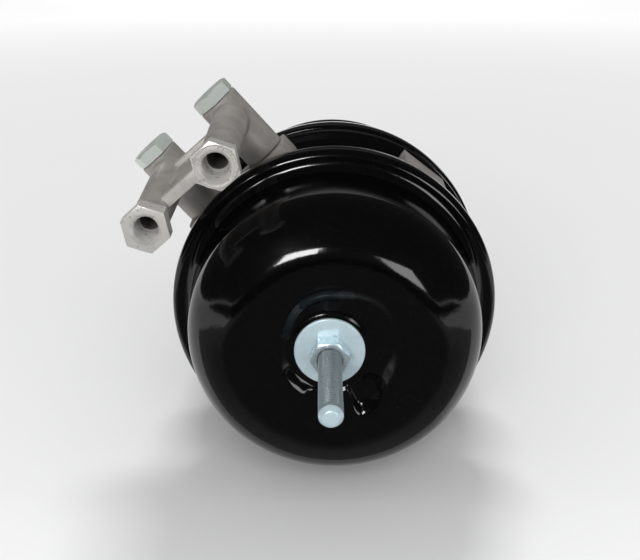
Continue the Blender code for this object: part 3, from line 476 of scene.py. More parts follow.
def close_rings(line, limit, fine_step, coarse_step):
    """Add points so that no run is longer than a step, fine inside a radius."""
    out = [line[0]]
    for a, b in zip(line, line[1:]):
        step = fine_step if max(a.x, b.x) < limit else coarse_step
        count = max(1, math.ceil((b - a).length / step))
        out += [a.lerp(b, k / count) for k in range(1, count + 1)]
    return out


pan_line = rounded([
    (HOLE_R, END_Y, 0), (END_R, END_Y, END_FILLET), (SHOULDER_R, SHOULDER_Y, SHOULDER_FILLET),
    (WALL_R, RIM_FRONT_Y, 6 * MM), (RIM_R, RIM_FRONT_Y, 4 * MM),
    (RIM_R, RIM_BACK_Y - CROWN_LONG, 30 * MM), (RIM_R - RIM_CROWN, RIM_BACK_Y, RIM_EDGE),
    (LIP_R, RIM_BACK_Y, 0)], steps=8)
pan = turn_line(close_rings(pan_line, FINE_R, FINE_STEP, COARSE_STEP), PAN_SIDES)
for point in pan.verts:
    r = math.hypot(point.co.x, point.co.z)
    point.co.x += BOLT_X * ease((MOVED_R - r) / MOVED_RUN)
    if point.co.y < END_Y + PRESSED_LONG and r < PRESSED_R:
        point.co.y += pressed_in(point.co.x, point.co.z)
softened = [point for point in pan.verts if math.hypot(point.co.x, point.co.z) < SOFTENED_R]
for _ in range(SOFTENINGS):
    bmesh.ops.smooth_vert(pan, verts=softened, factor=0.5, use_axis_y=True)
spring_pan = show("spring_pan", pan, HOUSING_PAINT)
pan_sheet = spring_pan.modifiers.new("sheet", "SOLIDIFY")
pan_sheet.thickness = SHEET
pan_sheet.offset = -1
dress(spring_pan, "cylinder", "black_paint", "spring_housing")


# Release washer, nut and bolt: zinc plated steel. The bolt is drawn out and its nut is tight on
# the washer, so the parking spring behind the pan stays caged.
WASHER_FRONT, WASHER_BACK = (corner.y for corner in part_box("release_washer"))
WASHER_R = 18.5 * MM
BOLT_R = 6 * MM
WASHER_HOLE_R = BOLT_R + 0.3 * MM
BOLT_PITCH = 1.75 * MM
BOLT_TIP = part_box("release_bolt")[0].y
BOLT_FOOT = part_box("release_bolt")[1].y - 8 * MM
BOLT_AXIS = Matrix.Translation((BOLT_X, 0, 0))
TIP_LONG = 4 * MM
NUT_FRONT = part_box("release_nut")[0].y
NUT_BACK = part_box("release_nut")[1].y
NUT_FLATS = 18 * MM
NUT_TURN = math.radians(5)
NUT_CHAMFER_R = NUT_FLATS / 2 - 0.4 * MM
NUT_TURNED_R = NUT_FLATS / 2 + 1 * MM
HEXAGON_SIDES = 120
THREAD_SIDES = 48
THREAD_RINGS = 8
THREAD_DEPTH = 0.6

# Places closer than this are taken as one.
TOUCH = 0.01 * MM


def darker(colour, share):
    return tuple(share * c for c in colour)


def zinc(name, colour, roughness, mottle, metallic=0.45):
    """Bright zinc plate: bluish, a little uneven, with fine marks."""
    look = finish(name, colour, roughness, metallic)
    cloud = noise(look, scale=mottle, detail=5.0, roughness=0.6)
    tint(look, stretch(look, cloud, 0.45, 0.75, 0.0, 0.6), darker(colour, 0.72))
    uneven_gloss(look, cloud, roughness - 0.06, roughness + 0.10)
    relief(look, noise(look, scale=1800.0, detail=2.0), 0.012 * MM)
    return look


def placed(shape, place):
    """Move a bmesh to its place and give it back."""
    bmesh.ops.transform(shape, matrix=place, verts=shape.verts)
    return shape


BRIGHT_ZINC = zinc("bright_zinc", (0.64, 0.80, 0.86), roughness=0.34, mottle=140.0)
washer_line = rounded([
    (WASHER_HOLE_R, WASHER_FRONT, 0), (WASHER_R, WASHER_FRONT, 0.7 * MM),
    (WASHER_R, WASHER_BACK, 0.4 * MM), (WASHER_HOLE_R, WASHER_BACK, 0)], steps=3)
washer = show("washer", placed(turn_line(washer_line, sides=160, closed=True), BOLT_AXIS), BRIGHT_ZINC)
dress(washer, "cylinder", "zinc_plate", "release_washer")


def hexagon_shape(line, flats, chamfer_r, front, corner=0.0, slope=0.5, closed=True):
    """Turn an outline and draw its wall out to six flats, with the corners of its front cut."""
    shape = turn_line(line, HEXAGON_SIDES, closed)
    for point in shape.verts:
        r = math.hypot(point.co.x, point.co.z)
        if r < chamfer_r + TOUCH:
            continue
        angle = math.atan2(point.co.z, point.co.x) - corner
        wide = flats / 2 / math.cos(angle % (math.pi / 3) - math.pi / 6)
        point.co.x *= wide / r
        point.co.z *= wide / r
        if abs(point.co.y - front) < TOUCH:
            point.co.y += (wide - chamfer_r) * slope
    return shape


nut_line = [(BOLT_R, NUT_BACK), (BOLT_R, NUT_FRONT + 1 * MM), (BOLT_R + 1 * MM, NUT_FRONT),
            (NUT_CHAMFER_R, NUT_FRONT), (NUT_TURNED_R, NUT_FRONT), (NUT_TURNED_R, NUT_BACK)]
nut_shape = hexagon_shape(nut_line, NUT_FLATS, NUT_CHAMFER_R, NUT_FRONT, corner=NUT_TURN)
nut_zinc = zinc("nut_zinc", (0.66, 0.78, 0.83), roughness=0.24, mottle=300.0, metallic=0.75)
nut = show("nut", placed(nut_shape, BOLT_AXIS), nut_zinc)
dress(nut, "cylinder", "zinc_plate", "release_nut")


def threaded_shape(r, pitch, start, stop, tip_line):
    """A threaded rod along Y from start to stop, closed by the outline of its tip. The depth of
    the thread is a share of its pitch."""
    count = int(THREAD_RINGS * abs(stop - start) / pitch)
    line = [(r, start + (stop - start) * k / count) for k in range(count + 1)]
    shape = turn_line([(0, start)] + line + tip_line, THREAD_SIDES)
    for point in shape.verts:
        if abs(math.hypot(point.co.x, point.co.z) - r) > TOUCH:
            continue
        turns = point.co.y / pitch + math.atan2(point.co.z, point.co.x) / math.tau
        wave = abs(2 * (turns % 1) - 1)
        runout = ease(abs(point.co.y - stop) / (1.2 * pitch))
        groove = THREAD_DEPTH * pitch * ease(1.15 * wave - 0.1) * runout
        point.co.x *= (r - groove) / r
        point.co.z *= (r - groove) / r
    return shape


def paint_thread_shade(look, colour, axis_x, low, high):
    """Paint shade into a thread: darker from the radius high inwards, round an axis along Y at axis_x."""
    where = look.node_tree.nodes.new("ShaderNodeTexCoord")
    centre = look.node_tree.nodes.new("ShaderNodeMapping")
    centre.inputs["Location"].default_value = (-axis_x, 0, 0)
    centre.inputs["Scale"].default_value = (1, 0, 1)
    far = look.node_tree.nodes.new("ShaderNodeVectorMath")
    far.operation = "LENGTH"
    look.node_tree.links.new(where.outputs["Object"], centre.inputs["Vector"])
    look.node_tree.links.new(centre.outputs["Vector"], far.inputs[0])
    tint(look, stretch(look, far.outputs["Value"], low, high, 0.9, 0.0), colour)


# The shank's zinc is a slightly darker copy with painted shade over its thread, darkest in the grooves.
SHADED_BOLT_ZINC = zinc("shaded_bolt_zinc", (0.58, 0.70, 0.75), roughness=0.30, mottle=420.0)
paint_thread_shade(SHADED_BOLT_ZINC, (0.04, 0.05, 0.055), axis_x=BOLT_X, low=5.2 * MM, high=6.9 * MM)
tip_line = rounded([
    (BOLT_R, BOLT_TIP + 3.6 * MM, 0), (BOLT_R - 0.5 * MM, BOLT_TIP + 2.6 * MM, 1 * MM),
    (BOLT_R - 1.9 * MM, BOLT_TIP + 0.5 * MM, 1.2 * MM), (0, BOLT_TIP, 0)], steps=5)
bolt_shape = threaded_shape(BOLT_R, BOLT_PITCH, BOLT_FOOT, BOLT_TIP + 4.2 * MM, tip_line)
# The tip's faces keep the bright zinc, without the painted shade.
for face in bolt_shape.faces:
    if max(point.co.y for point in face.verts) < BOLT_TIP + TIP_LONG:
        face.material_index = 1
bolt = show("bolt", placed(bolt_shape, BOLT_AXIS), SHADED_BOLT_ZINC, BRIGHT_ZINC)
dress(bolt, "cylinder", "zinc_plate", "release_bolt")


# Cast flange: the aluminium ring between the chambers, painted black. The boss under the port
# block and a machined pad at the upper right, both cast with it, stay bare.
FLANGE_FRONT, FLANGE_BACK = (corner.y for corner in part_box("flange_body"))
FLANGE_EDGE = 0.3 * MM
SHEET_GAP = 0.3 * MM
FRONT_RING_R = RIM_R - 4.6 * MM
FRONT_RING_Y = RIM_BACK_Y - SHEET - SHEET_GAP
CAVITY_R = 75 * MM
WAIST_R = 82 * MM
REAR_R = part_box("service_housing")[1].x
REAR_RIM_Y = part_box("service_housing")[0].y
REAR_LIP_R = 83 * MM
REAR_RING_R = REAR_R - 1.2 * MM
SHOULDER_FRONT_Y = REAR_RIM_Y - 9.5 * MM

# The port block stands on the flange in a frame of its own, whose Z runs up its towers.
BLOCK_TURN = Matrix.Rotation(math.radians(-41.8), 4, "Y")
TOWER_Y = -105 * MM
TOWER_R = 12.2 * MM
TOWER_FOOT = 85.5 * MM
PITCH = 47.2 * MM
BOSS_MARGIN = 0.9 * MM
BOSS_HIGH = 14 * MM
BOSS_TOP = TOWER_FOOT - 0.3 * MM
PAD_TURN = Matrix.Rotation(math.pi / 2 - math.radians(52), 4, "Y")
PAD_TOP = 87 * MM
PAD_HIGH = 10 * MM
PAD_WIDE = 30 * MM
PAD_LONG = SHOULDER_FRONT_Y - RIM_BACK_Y - 6 * MM
PAD_Y = (RIM_BACK_Y + SHOULDER_FRONT_Y) / 2 + 4 * MM

CAST_PAINT = gloss_paint("cast_paint", ripple=900.0)


def casting(name, colour, grain):
    """Shot blasted cast aluminium: warm grey, matt, with a fine grain, darker clouds and darker specks."""
    look = finish(name, colour, 0.5, 0.35)
    relief(look, noise(look, scale=grain, detail=4.0, roughness=0.65), 0.09 * MM)
    stain = noise(look, scale=60.0, detail=5.0, roughness=0.6)
    tint(look, stretch(look, stain, 0.42, 0.72, 0.0, 0.7), darker(colour, 0.62))
    specks = noise(look, scale=1500.0, detail=2.0)
    tint(look, stretch(look, specks, 0.62, 0.72, 0.0, 0.6), darker(colour, 0.45))
    uneven_gloss(look, stain, 0.42, 0.60)
    return look


BARE_CASTING = casting("bare_casting", (0.39, 0.37, 0.345), grain=700.0)

ring_line = rounded([
    (CAVITY_R, FLANGE_FRONT, 0), (FRONT_RING_R, FLANGE_FRONT, FLANGE_EDGE),
    (FRONT_RING_R, FRONT_RING_Y, FLANGE_EDGE), (LIP_R - SHEET_GAP, FRONT_RING_Y, FLANGE_EDGE),
    (LIP_R - SHEET_GAP, RIM_BACK_Y + 0.5 * MM, 0.6 * MM), (WAIST_R, RIM_BACK_Y + 3 * MM, 2 * MM),
    (WAIST_R, SHOULDER_FRONT_Y - 2 * MM, 4 * MM), (REAR_RING_R, SHOULDER_FRONT_Y, 1.5 * MM),
    (REAR_RING_R, REAR_RIM_Y - SHEET_GAP, FLANGE_EDGE), (REAR_LIP_R, REAR_RIM_Y - SHEET_GAP, 0),
    (REAR_LIP_R, FLANGE_BACK, FLANGE_EDGE), (CAVITY_R, FLANGE_BACK, 0)], steps=4)
flange_ring = show("flange_ring", turn_line(ring_line, sides=160, closed=True), CAST_PAINT)
dress(flange_ring, "cylinder", "black_cast", "flange_body")


def block_shape(size, place, rounding, steps=3):
    """A block with rounded edges."""
    shape = bmesh.new()
    bmesh.ops.create_cube(shape, size=1.0, matrix=Matrix.Diagonal((*size, 1)))
    bmesh.ops.bevel(shape, geom=shape.edges, offset=rounding, segments=steps, profile=0.5,
                    affect="EDGES", material=-1)
    return placed(shape, place)


boss_size = (PITCH + 2 * (TOWER_R + BOSS_MARGIN), 2 * (TOWER_R + BOSS_MARGIN), BOSS_HIGH)
boss_place = BLOCK_TURN @ Matrix.Translation((0, TOWER_Y, BOSS_TOP - BOSS_HIGH / 2))
boss = show("port_boss", block_shape(boss_size, boss_place, rounding=1 * MM), BARE_CASTING)
dress(boss, "cylinder", "cast_aluminium")
pad_place = PAD_TURN @ Matrix.Translation((0, PAD_Y, PAD_TOP - PAD_HIGH / 2))
pad_shape = block_shape((PAD_WIDE, PAD_LONG, PAD_HIGH), pad_place, rounding=0.5 * MM)
pad = show("bare_pad", pad_shape, BARE_CASTING)
dress(pad, "cylinder", "cast_aluminium")


# Port block: one aluminium casting, two towers with an arm each and a ribbed web between the
# arms. Each arm ends in a machined hexagon, drilled, chamfered and threaded for a hose fitting.
ARM_HEIGHT = 113.5 * MM
TOWER_TOP = 126 * MM
ARM_R = 9.4 * MM
ARM_ROOT_R = 10.3 * MM
HOLLOW_R = 7.8 * MM
PASSAGE_R = 6.4 * MM
PORT_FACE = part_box("port_block")[0].y
PORT_FLATS = 22 * MM
PORT_LONG = 10 * MM
PORT_PITCH = 1.5 * MM
PORT_EDGE_R = PORT_FLATS / 2 - 0.2 * MM
PORT_TURNED_R = PORT_EDGE_R + 2 * MM
ROUND_LONG = 1.6 * MM
MARK_HALF = 0.6 * MM
MARK_DEPTH = 0.7 * MM
THREAD_LONG = 17 * MM
THREAD_CUT = 0.5 * MM
THREAD_CREST = 0.3 * MM
THROAT_R = 5.6 * MM
SLEEVE_R = HOLLOW_R - 0.2 * MM
ARM_FRONT_Y = PORT_FACE + 6 * MM
HOLLOW_END_Y = PORT_FACE + 20 * MM
PASSAGE_END_Y = PORT_FACE + 85 * MM
WEB_T = 3.6 * MM
WEB_WIDE = PITCH - 12 * MM
WEB_FRONT = -185 * MM
WEB_BACK = TOWER_Y + TOWER_R - 3 * MM
BAR_WIDE = PITCH - 14 * MM
BARS = ((WEB_FRONT, 0.0), (TOWER_Y - 19 * MM, 1.4 * MM))
RIDGE_T = 2.1 * MM
RIDGE_HIGH = 6.2 * MM
RIDGE_OFFSET = 1.6 * MM
GROOVE_WIDE = 4 * MM
GROOVE_HIGH = 4.2 * MM
VOXEL = 0.66 * MM
RING_SPACING = 0.6 * MM


def merge_into(shape, other):
    """Put another bmesh into this one."""
    mesh = bpy.data.meshes.new("scrap")
    other.to_mesh(mesh)
    other.free()
    shape.from_mesh(mesh)
    bpy.data.meshes.remove(mesh)


def settle(piece):
    """Replace a piece's mesh by the result of its modifiers."""
    bpy.context.view_layer.update()
    result = bpy.data.meshes.new_from_object(
        piece.evaluated_get(bpy.context.evaluated_depsgraph_get()))
    piece.modifiers.clear()
    piece.data = result


tower_line = rounded([(0, TOWER_FOOT, 0), (TOWER_R, TOWER_FOOT, 0.4 * MM),
                      (TOWER_R, TOWER_TOP, 0.6 * MM), (0, TOWER_TOP, 0)], steps=3)
arm_line = [(0, TOWER_Y), (ARM_ROOT_R, TOWER_Y), (ARM_R, ARM_FRONT_Y), (HOLLOW_R, ARM_FRONT_Y),
            (HOLLOW_R, HOLLOW_END_Y), (PASSAGE_R, HOLLOW_END_Y), (PASSAGE_R, PASSAGE_END_Y),
            (0, PASSAGE_END_Y)]
raw_block = bmesh.new()
for arm_x in (-PITCH / 2, PITCH / 2):
    tower_place = Matrix.Translation((arm_x, TOWER_Y, 0)) @ QUARTER_TURN
    merge_into(raw_block, placed(turn_line(tower_line, sides=64), tower_place))
    arm_place = Matrix.Translation((arm_x, 0, ARM_HEIGHT))
    merge_into(raw_block, placed(turn_line(arm_line, sides=64), arm_place))
web_place = Matrix.Translation((0, (WEB_BACK + WEB_FRONT) / 2, ARM_HEIGHT))
merge_into(raw_block, block_shape((WEB_WIDE, WEB_BACK - WEB_FRONT, WEB_T), web_place,
                                  rounding=0.3 * MM, steps=1))
ridges = bmesh.new()
for bar_y, rise in BARS:
    bar_place = Matrix.Translation((0, bar_y, ARM_HEIGHT + rise))
    for side in (-1, 1):
        ridge_place = bar_place @ Matrix.Translation((0, side * RIDGE_OFFSET, 0))
        merge_into(ridges, block_shape((BAR_WIDE, RIDGE_T, RIDGE_HIGH), ridge_place, rounding=0.6 * MM))
    merge_into(ridges, block_shape((BAR_WIDE, GROOVE_WIDE, GROOVE_HIGH), bar_place,
                                   rounding=0.3 * MM, steps=1))
# The ribs on the web get a lighter copy of the casting: painted light on their tops.
rib_casting_painted_light = casting("rib_casting_painted_light", (0.56, 0.54, 0.51), grain=900.0)
web_bars = show("web_bars", placed(ridges, BLOCK_TURN), rib_casting_painted_light)
dress(web_bars, "cylinder", "cast_aluminium")
cast_block = show("port_casting", placed(raw_block, BLOCK_TURN), BARE_CASTING)
skin = cast_block.modifiers.new("one_skin", "REMESH")
skin.mode = "VOXEL"
skin.voxel_size = VOXEL
soften = cast_block.modifiers.new("cast_corners", "SMOOTH")
soften.factor = 0.5
soften.iterations = 10
settle(cast_block)
cast_block.data.materials.clear()
cast_block.data.materials.append(BARE_CASTING)
dress(cast_block, "cylinder", "cast_aluminium", "port_block")


def machined(name, centre):
    """Freshly turned aluminium with rings round a centre. A wave of scale 1 is 0.31 m long."""
    look = finish(name, (0.64, 0.625, 0.60), 0.34, 0.5)
    where = look.node_tree.nodes.new("ShaderNodeTexCoord")
    shift = look.node_tree.nodes.new("ShaderNodeMapping")
    shift.inputs["Location"].default_value = tuple(-c for c in centre)
    rings = look.node_tree.nodes.new("ShaderNodeTexWave")
    rings.wave_type = "RINGS"
    rings.rings_direction = "Y"
    rings.inputs["Scale"].default_value = 0.31 / RING_SPACING
    rings.inputs["Distortion"].default_value = 0.6
    rings.inputs["Detail"].default_value = 2.0
    look.node_tree.links.new(where.outputs["Object"], shift.inputs["Vector"])
    look.node_tree.links.new(shift.outputs["Vector"], rings.inputs["Vector"])
    relief(look, rings.outputs["Fac"], 0.006 * MM)
    uneven_gloss(look, noise(look, scale=300.0, detail=4.0), 0.24, 0.42)
    return look


def port_shape(bore, mouth, round_end):
    """A hexagon with a chamfered, threaded bore that ends in the arm. A round end is turned down
    in front of the flats and has a mark turned into its face."""
    thread_end = PORT_FACE + THREAD_LONG
    line = [(THROAT_R, thread_end + 2 * MM), (THROAT_R, thread_end), (bore, thread_end)]
    for k in range(int((THREAD_LONG - (mouth - bore)) / PORT_PITCH)):
        y = thread_end - PORT_PITCH * (k + 0.5)
        line += [(bore + THREAD_CUT, y), (bore - THREAD_CREST, y - PORT_PITCH / 2)]
    line += [(bore, PORT_FACE + mouth - bore), (mouth, PORT_FACE)]
    front = PORT_FACE
    if round_end:
        front = PORT_FACE + ROUND_LONG
        mark = (mouth + PORT_EDGE_R) / 2
        line += [(mark - MARK_HALF, PORT_FACE), (mark, PORT_FACE + MARK_DEPTH),
                 (mark + MARK_HALF, PORT_FACE), (PORT_EDGE_R - 0.4 * MM, PORT_FACE),
                 (PORT_EDGE_R, PORT_FACE + 0.4 * MM)]
    line += [(PORT_EDGE_R, front), (PORT_TURNED_R, front), (PORT_TURNED_R, PORT_FACE + PORT_LONG),
             (SLEEVE_R, PORT_FACE + PORT_LONG), (SLEEVE_R, thread_end + 2 * MM)]
    return hexagon_shape(line, PORT_FLATS, PORT_EDGE_R, front, slope=0.2)


for name, arm_x, bore, mouth, round_end in (("lower", -PITCH / 2, 6.6 * MM, 8.1 * MM, False),
                                            ("upper", PITCH / 2, 7.2 * MM, 8.6 * MM, True)):
    place = BLOCK_TURN @ Matrix.Translation((arm_x, 0, ARM_HEIGHT))
    port = show(name + "_port", placed(port_shape(bore, mouth, round_end), place),
                machined(name + "_port_metal", place.translation))
    dress(port, "cylinder", "cast_aluminium")


# Banjo bolts: hollow bolts of zinc plated steel through the two towers. Their hexagon heads clamp
# the block on its boss, and air passes through them into the chambers.
HEAD_FLATS = 22 * MM
HEAD_CHAMFER_R = HEAD_FLATS / 2 - 0.5 * MM
HEAD_TURNED_R = HEAD_CHAMFER_R + 2 * MM
HEAD_SEAT = TOWER_TOP + 0.3 * MM
HEAD_TOP = HEAD_SEAT + 7 * MM
SHANK_R = 8 * MM
SHANK_FOOT = 79 * MM
STAND_UP = Matrix.Rotation(math.radians(-90), 4, "X")
HEAD_ZINC = zinc("head_zinc", (0.66, 0.71, 0.67), roughness=0.36, mottle=90.0)

head_line = [(0, -HEAD_TOP), (HEAD_CHAMFER_R, -HEAD_TOP), (HEAD_TURNED_R, -HEAD_TOP),
             (HEAD_TURNED_R, -HEAD_SEAT), (SHANK_R, -HEAD_SEAT), (SHANK_R, -SHANK_FOOT), (0, -SHANK_FOOT)]
for name, arm_x, corner in (("lower", -PITCH / 2, 0.0), ("upper", PITCH / 2, math.radians(30))):
    banjo_shape = hexagon_shape(head_line, HEAD_FLATS, HEAD_CHAMFER_R, -HEAD_TOP, corner, closed=False)
    banjo_place = BLOCK_TURN @ Matrix.Translation((arm_x, TOWER_Y, 0)) @ STAND_UP
    banjo = show("banjo_" + name, placed(banjo_shape, banjo_place), HEAD_ZINC)
    dress(banjo, "cylinder", "zinc_plate", "banjo_bolt_" + name)


# Service housing: a cup drawn from steel sheet, narrowing to the flat face that bolts to the
# brake, with its rim rolled over the flange. Painted gloss black, like the spring housing.
CUP_SHEET = 3 * MM
CUP_RIM_Y = REAR_RIM_Y + 15.4 * MM
CUP_RIM_R = 79.5 * MM
CUP_END_R = 76.025 * MM
CUP_EDGE = 6 * MM
CUP_STEP = 8 * MM
CUP_SLOPE = (CUP_RIM_R - CUP_END_R) / -CUP_RIM_Y
OPENING_R = 22 * MM
STUD_SPAN = 60.325 * MM
STUD_R = 8 * MM
VENT_Y = -22 * MM
VENT_R = 4 * MM
VENT_WALL_R = CUP_END_R - CUP_SLOPE * VENT_Y


def cut(piece, *cutters):
    """Cut closed pieces out of a piece and drop them."""
    for cutter in cutters:
        step = piece.modifiers.new("cut", "BOOLEAN")
        step.operation = "DIFFERENCE"
        step.solver = "EXACT"
        step.object = cutter
    settle(piece)
    for cutter in cutters:
        bpy.data.objects.remove(cutter, do_unlink=True)


def rod_cutter(r, length, place):
    """A closed rod along Z, before it is placed, that cuts a round hole."""
    shape = bmesh.new()
    bmesh.ops.create_cone(shape, cap_ends=True, segments=48, radius1=r, radius2=r, depth=length,
                          matrix=place)
    return show("cutter", shape)


def square_to_cup(index):
    """Place and turn of a breather hole, whose Z stands square to the sloping wall."""
    return Matrix.Rotation(math.radians(45 + 90 * index), 4, "Y") @ Matrix.Translation(
        (0, VENT_Y, VENT_WALL_R)) @ Matrix.Rotation(-math.atan(CUP_SLOPE), 4, "X")


cup_line = rounded([
    (OPENING_R, 0, 0), (CUP_END_R, 0, CUP_EDGE), (CUP_RIM_R, CUP_RIM_Y, 3 * MM),
    (REAR_R - RIM_CROWN, CUP_RIM_Y, RIM_EDGE), (REAR_R, REAR_RIM_Y + CROWN_LONG, 40 * MM),
    (REAR_R, REAR_RIM_Y, RIM_EDGE), (REAR_LIP_R, REAR_RIM_Y, 0)], steps=8)
cup = show("service_cup", turn_line(close_rings(cup_line, 0, CUP_STEP, CUP_STEP), sides=200), HOUSING_PAINT)
cup_wall = cup.modifiers.new("sheet", "SOLIDIFY")
cup_wall.thickness = CUP_SHEET
cup_wall.offset = -1
settle(cup)
stud_cutters = [
    rod_cutter(STUD_R + 0.3 * MM, 20 * MM, Matrix.Translation((side * STUD_SPAN, 0, 0)) @ QUARTER_TURN)
    for side in (-1, 1)]
vent_cutters = [rod_cutter(VENT_R, 24 * MM, square_to_cup(index)) for index in range(4)]
cut(cup, *stud_cutters, *vent_cutters)
dress(cup, "cylinder", "black_paint", "service_housing")


# Vent plugs: snap-in buttons of black moulded plastic in three of the four breather holes. The
# fourth, at the lower left, stays open, so that water can leave the cup.
PLUG_STEM_R = VENT_R - 0.3 * MM
PLUG_STEM_LONG = 6 * MM
PLUG_SEAT = 0.3 * MM
PLUG_R = 6.5 * MM
PLUG_TOP = 2.4 * MM


def moulded(name, colour, roughness):
    """Plastic or rubber from a mould: one colour, a fine grain and an uneven gloss."""
    look = finish(name, colour, roughness)
    relief(look, noise(look, scale=1400.0, detail=3.0), 0.03 * MM)
    uneven_gloss(look, noise(look, scale=70.0, detail=3.0), roughness - 0.08, roughness + 0.08)
    return look


PLUG_PLASTIC = moulded("plug_plastic", (0.018, 0.018, 0.020), roughness=0.48)
plug_line = rounded([
    (0, PLUG_STEM_LONG, 0), (PLUG_STEM_R, PLUG_STEM_LONG, 0.5 * MM), (PLUG_STEM_R, -PLUG_SEAT, 0),
    (PLUG_R, -PLUG_SEAT, 0.2 * MM), (PLUG_R - 0.8 * MM, -2 * MM, 0.8 * MM), (0, -PLUG_TOP, 0)], steps=3)
for index, name in ((0, "upper_right"), (1, "lower_right"), (3, "upper_left")):
    plug_shape = placed(turn_line(plug_line, sides=48), square_to_cup(index) @ STAND_UP)
    plug = show("plug_" + name, plug_shape, PLUG_PLASTIC)
    dress(plug, "cylinder", "plastic", "vent_plug_" + name)


# Studs: two M16 bolting studs, zinc plated, threaded where they stand out of the face. Their
# round heads lie inside the cup.
STUD_HEAD_Y, STUD_END = (corner.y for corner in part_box("stud_left"))
STUD_PITCH = 1.5 * MM
STUD_THREAD_Y = 1.5 * MM
STUD_HEAD_R = 9.7 * MM
STUD_HEAD_BACK = STUD_HEAD_Y + 4 * MM
SHANK_END = 1.6 * MM

stud_head_line = rounded([
    (0, STUD_HEAD_Y, 0), (STUD_HEAD_R, STUD_HEAD_Y, 0.6 * MM), (STUD_HEAD_R, STUD_HEAD_BACK, 0.3 * MM),
    (STUD_R, STUD_HEAD_BACK, 0), (STUD_R, SHANK_END, 0), (0, SHANK_END, 0)], steps=3)
stud_tip_line = [(STUD_R, STUD_END - 1.6 * MM), (STUD_R - 1.5 * MM, STUD_END), (0, STUD_END)]
for side, name in ((-1, "left"), (1, "right")):
    stud_x = side * STUD_SPAN
    stud = threaded_shape(STUD_R, STUD_PITCH, STUD_THREAD_Y, STUD_END - 2 * MM, stud_tip_line)
    merge_into(stud, turn_line(stud_head_line, sides=64))
    # The stud's zinc gets painted shade in its thread grooves.
    stud_zinc = zinc("stud_zinc_" + name, (0.55, 0.64, 0.68), roughness=0.32, mottle=220.0)
    paint_thread_shade(stud_zinc, (0.06, 0.07, 0.07), axis_x=stud_x, low=7.2 * MM, high=7.98 * MM)
    stud_bolt = show("stud_bolt_" + name, placed(stud, Matrix.Translation((stud_x, 0, 0))), stud_zinc)
    dress(stud_bolt, "cylinder", "zinc_plate", "stud_" + name)


# Push rod: turned steel, zinc plated, with a flat foot that stands on the push plate and a domed
# end that sits in the cup of the brake's lever.
ROD_FOOT, ROD_END = (corner.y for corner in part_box("push_rod"))
ROD_R = 9 * MM
ROD_FOOT_R = 16 * MM
ROD_DOME = 7 * MM

rod_line = rounded([
    (0, ROD_FOOT, 0), (ROD_FOOT_R, ROD_FOOT, 0.4 * MM), (ROD_FOOT_R, ROD_FOOT + 3 * MM, 0.8 * MM),
    (ROD_R, ROD_FOOT + 4 * MM, 0), (ROD_R, ROD_END, ROD_DOME), (0, ROD_END, 0)], steps=8)
rod = show("rod", turn_line(rod_line, sides=72), BRIGHT_ZINC)
dress(rod, "push_rod", "zinc_plate", "push_rod")


# Gaiter: moulded rubber bellows that keep dirt off the rod, seen in the opening of the bolting
# face. It starts just past the rod's foot.
GAITER_START, GAITER_END = (corner.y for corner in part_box("rod_gaiter"))
GAITER_T = 1.3 * MM
NECK_R = ROD_R + 1 * MM
NECK_END = GAITER_START + 6 * MM
FOLDS = 3
FOLD_LONG = (GAITER_END - NECK_END - 4 * MM) / FOLDS
FOLD_OUTER_R = 20 * MM
FOLD_INNER_R = 13 * MM
COLLAR_Y = GAITER_END - 0.7 * MM
COLLAR_ROOT_R = 17 * MM
COLLAR_R = 26 * MM
MOULDED_RUBBER = moulded("moulded_rubber", (0.014, 0.014, 0.014), roughness=0.66)

gaiter_corners = [(NECK_R, GAITER_START, 0), (NECK_R, NECK_END, 1 * MM)]
for k in range(FOLDS):
    fold_y = NECK_END + FOLD_LONG * (k + 0.5)
    gaiter_corners += [(FOLD_OUTER_R, fold_y, 1.6 * MM),
                       (FOLD_INNER_R, fold_y + FOLD_LONG / 2, 1.2 * MM)]
gaiter_corners += [(COLLAR_ROOT_R, COLLAR_Y, 0.6 * MM), (COLLAR_R, COLLAR_Y, 0)]
gaiter = show("gaiter", turn_line(rounded(gaiter_corners, steps=5), sides=96), MOULDED_RUBBER)
gaiter_wall = gaiter.modifiers.new("wall", "SOLIDIFY")
gaiter_wall.thickness = GAITER_T
gaiter_wall.offset = 0
settle(gaiter)
dress(gaiter, "cylinder", "rubber", "rod_gaiter")
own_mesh(gaiter)


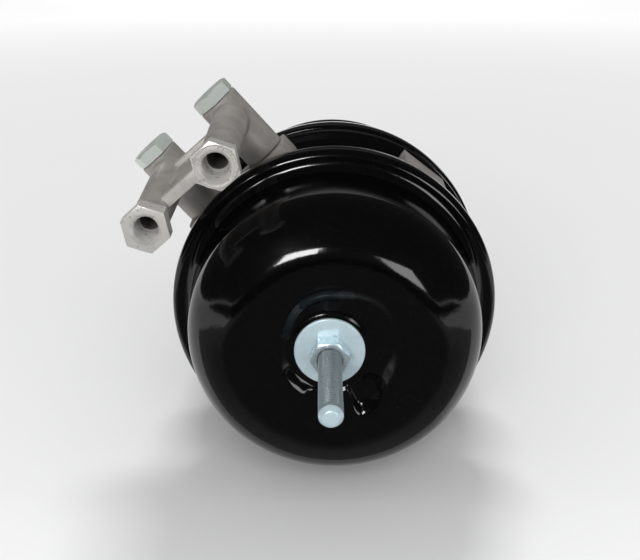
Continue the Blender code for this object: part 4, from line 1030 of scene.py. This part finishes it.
# Inner pieces: they keep their solids, in pressed steel, coated spring wire, rubber and plastic,
# because the closed housings hide them.
def steel(name, colour, roughness):
    """Plain or coated steel: dull, with darker clouds."""
    look = finish(name, colour, roughness, 0.9)
    cloud = noise(look, scale=120.0, detail=4.0)
    tint(look, stretch(look, cloud, 0.45, 0.75, 0.0, 0.6), darker(colour, 0.6))
    uneven_gloss(look, cloud, roughness - 0.08, roughness + 0.1)
    return look


PRESSED_STEEL = steel("pressed_steel", (0.33, 0.33, 0.34), roughness=0.38)
SPRING_WIRE = steel("spring_wire", (0.05, 0.05, 0.06), roughness=0.42)
for look, nodes in (
        (SPRING_WIRE, ("power_spring",)),
        (PRESSED_STEEL, ("pressure_plate", "parking_rod", "push_plate")),
        (PLUG_PLASTIC, ("rod_cap", "guide_bush")),
        (MOULDED_RUBBER, ("rod_seal_front", "rod_seal_rear", "spring_diaphragm", "service_diaphragm"))):
    for name in nodes:
        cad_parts[name].material_slots[0].material = look


# Return spring: a cone wound of coated spring wire, between the push plate and the bolting face.
SPRING_START, SPRING_END = (corner.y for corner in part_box("return_spring"))
WIRE_R = 2.25 * MM
WIRE_SIDES = 12
SPRING_TURNS = 5
TURN_STEPS = 48
SPRING_SMALL_R = 30 * MM
SPRING_LARGE_R = 40 * MM

coil = bmesh.new()
bmesh.ops.create_circle(coil, segments=WIRE_SIDES, radius=WIRE_R, matrix=Matrix.Translation(
    (SPRING_SMALL_R, SPRING_START + WIRE_R, 0)))
coil_long = SPRING_END - SPRING_START - 2 * WIRE_R
coil_steps = SPRING_TURNS * TURN_STEPS
bmesh.ops.spin(coil, geom=coil.verts[:] + coil.edges[:], cent=(0, 0, 0), axis=(0, -1, 0),
               dvec=(0, coil_long / coil_steps, 0), angle=math.tau * SPRING_TURNS, steps=coil_steps)
for point in coil.verts:
    r = math.hypot(point.co.x, point.co.z)
    wider = (SPRING_LARGE_R - SPRING_SMALL_R) * (point.co.y - SPRING_START - WIRE_R) / coil_long
    point.co.x *= 1 + wider / r
    point.co.z *= 1 + wider / r
bmesh.ops.holes_fill(coil, edges=coil.edges)
bmesh.ops.recalc_face_normals(coil, faces=coil.faces)
return_coil = show("return_coil", coil, SPRING_WIRE)
dress(return_coil, "cylinder", "spring_steel", "return_spring")
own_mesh(return_coil)
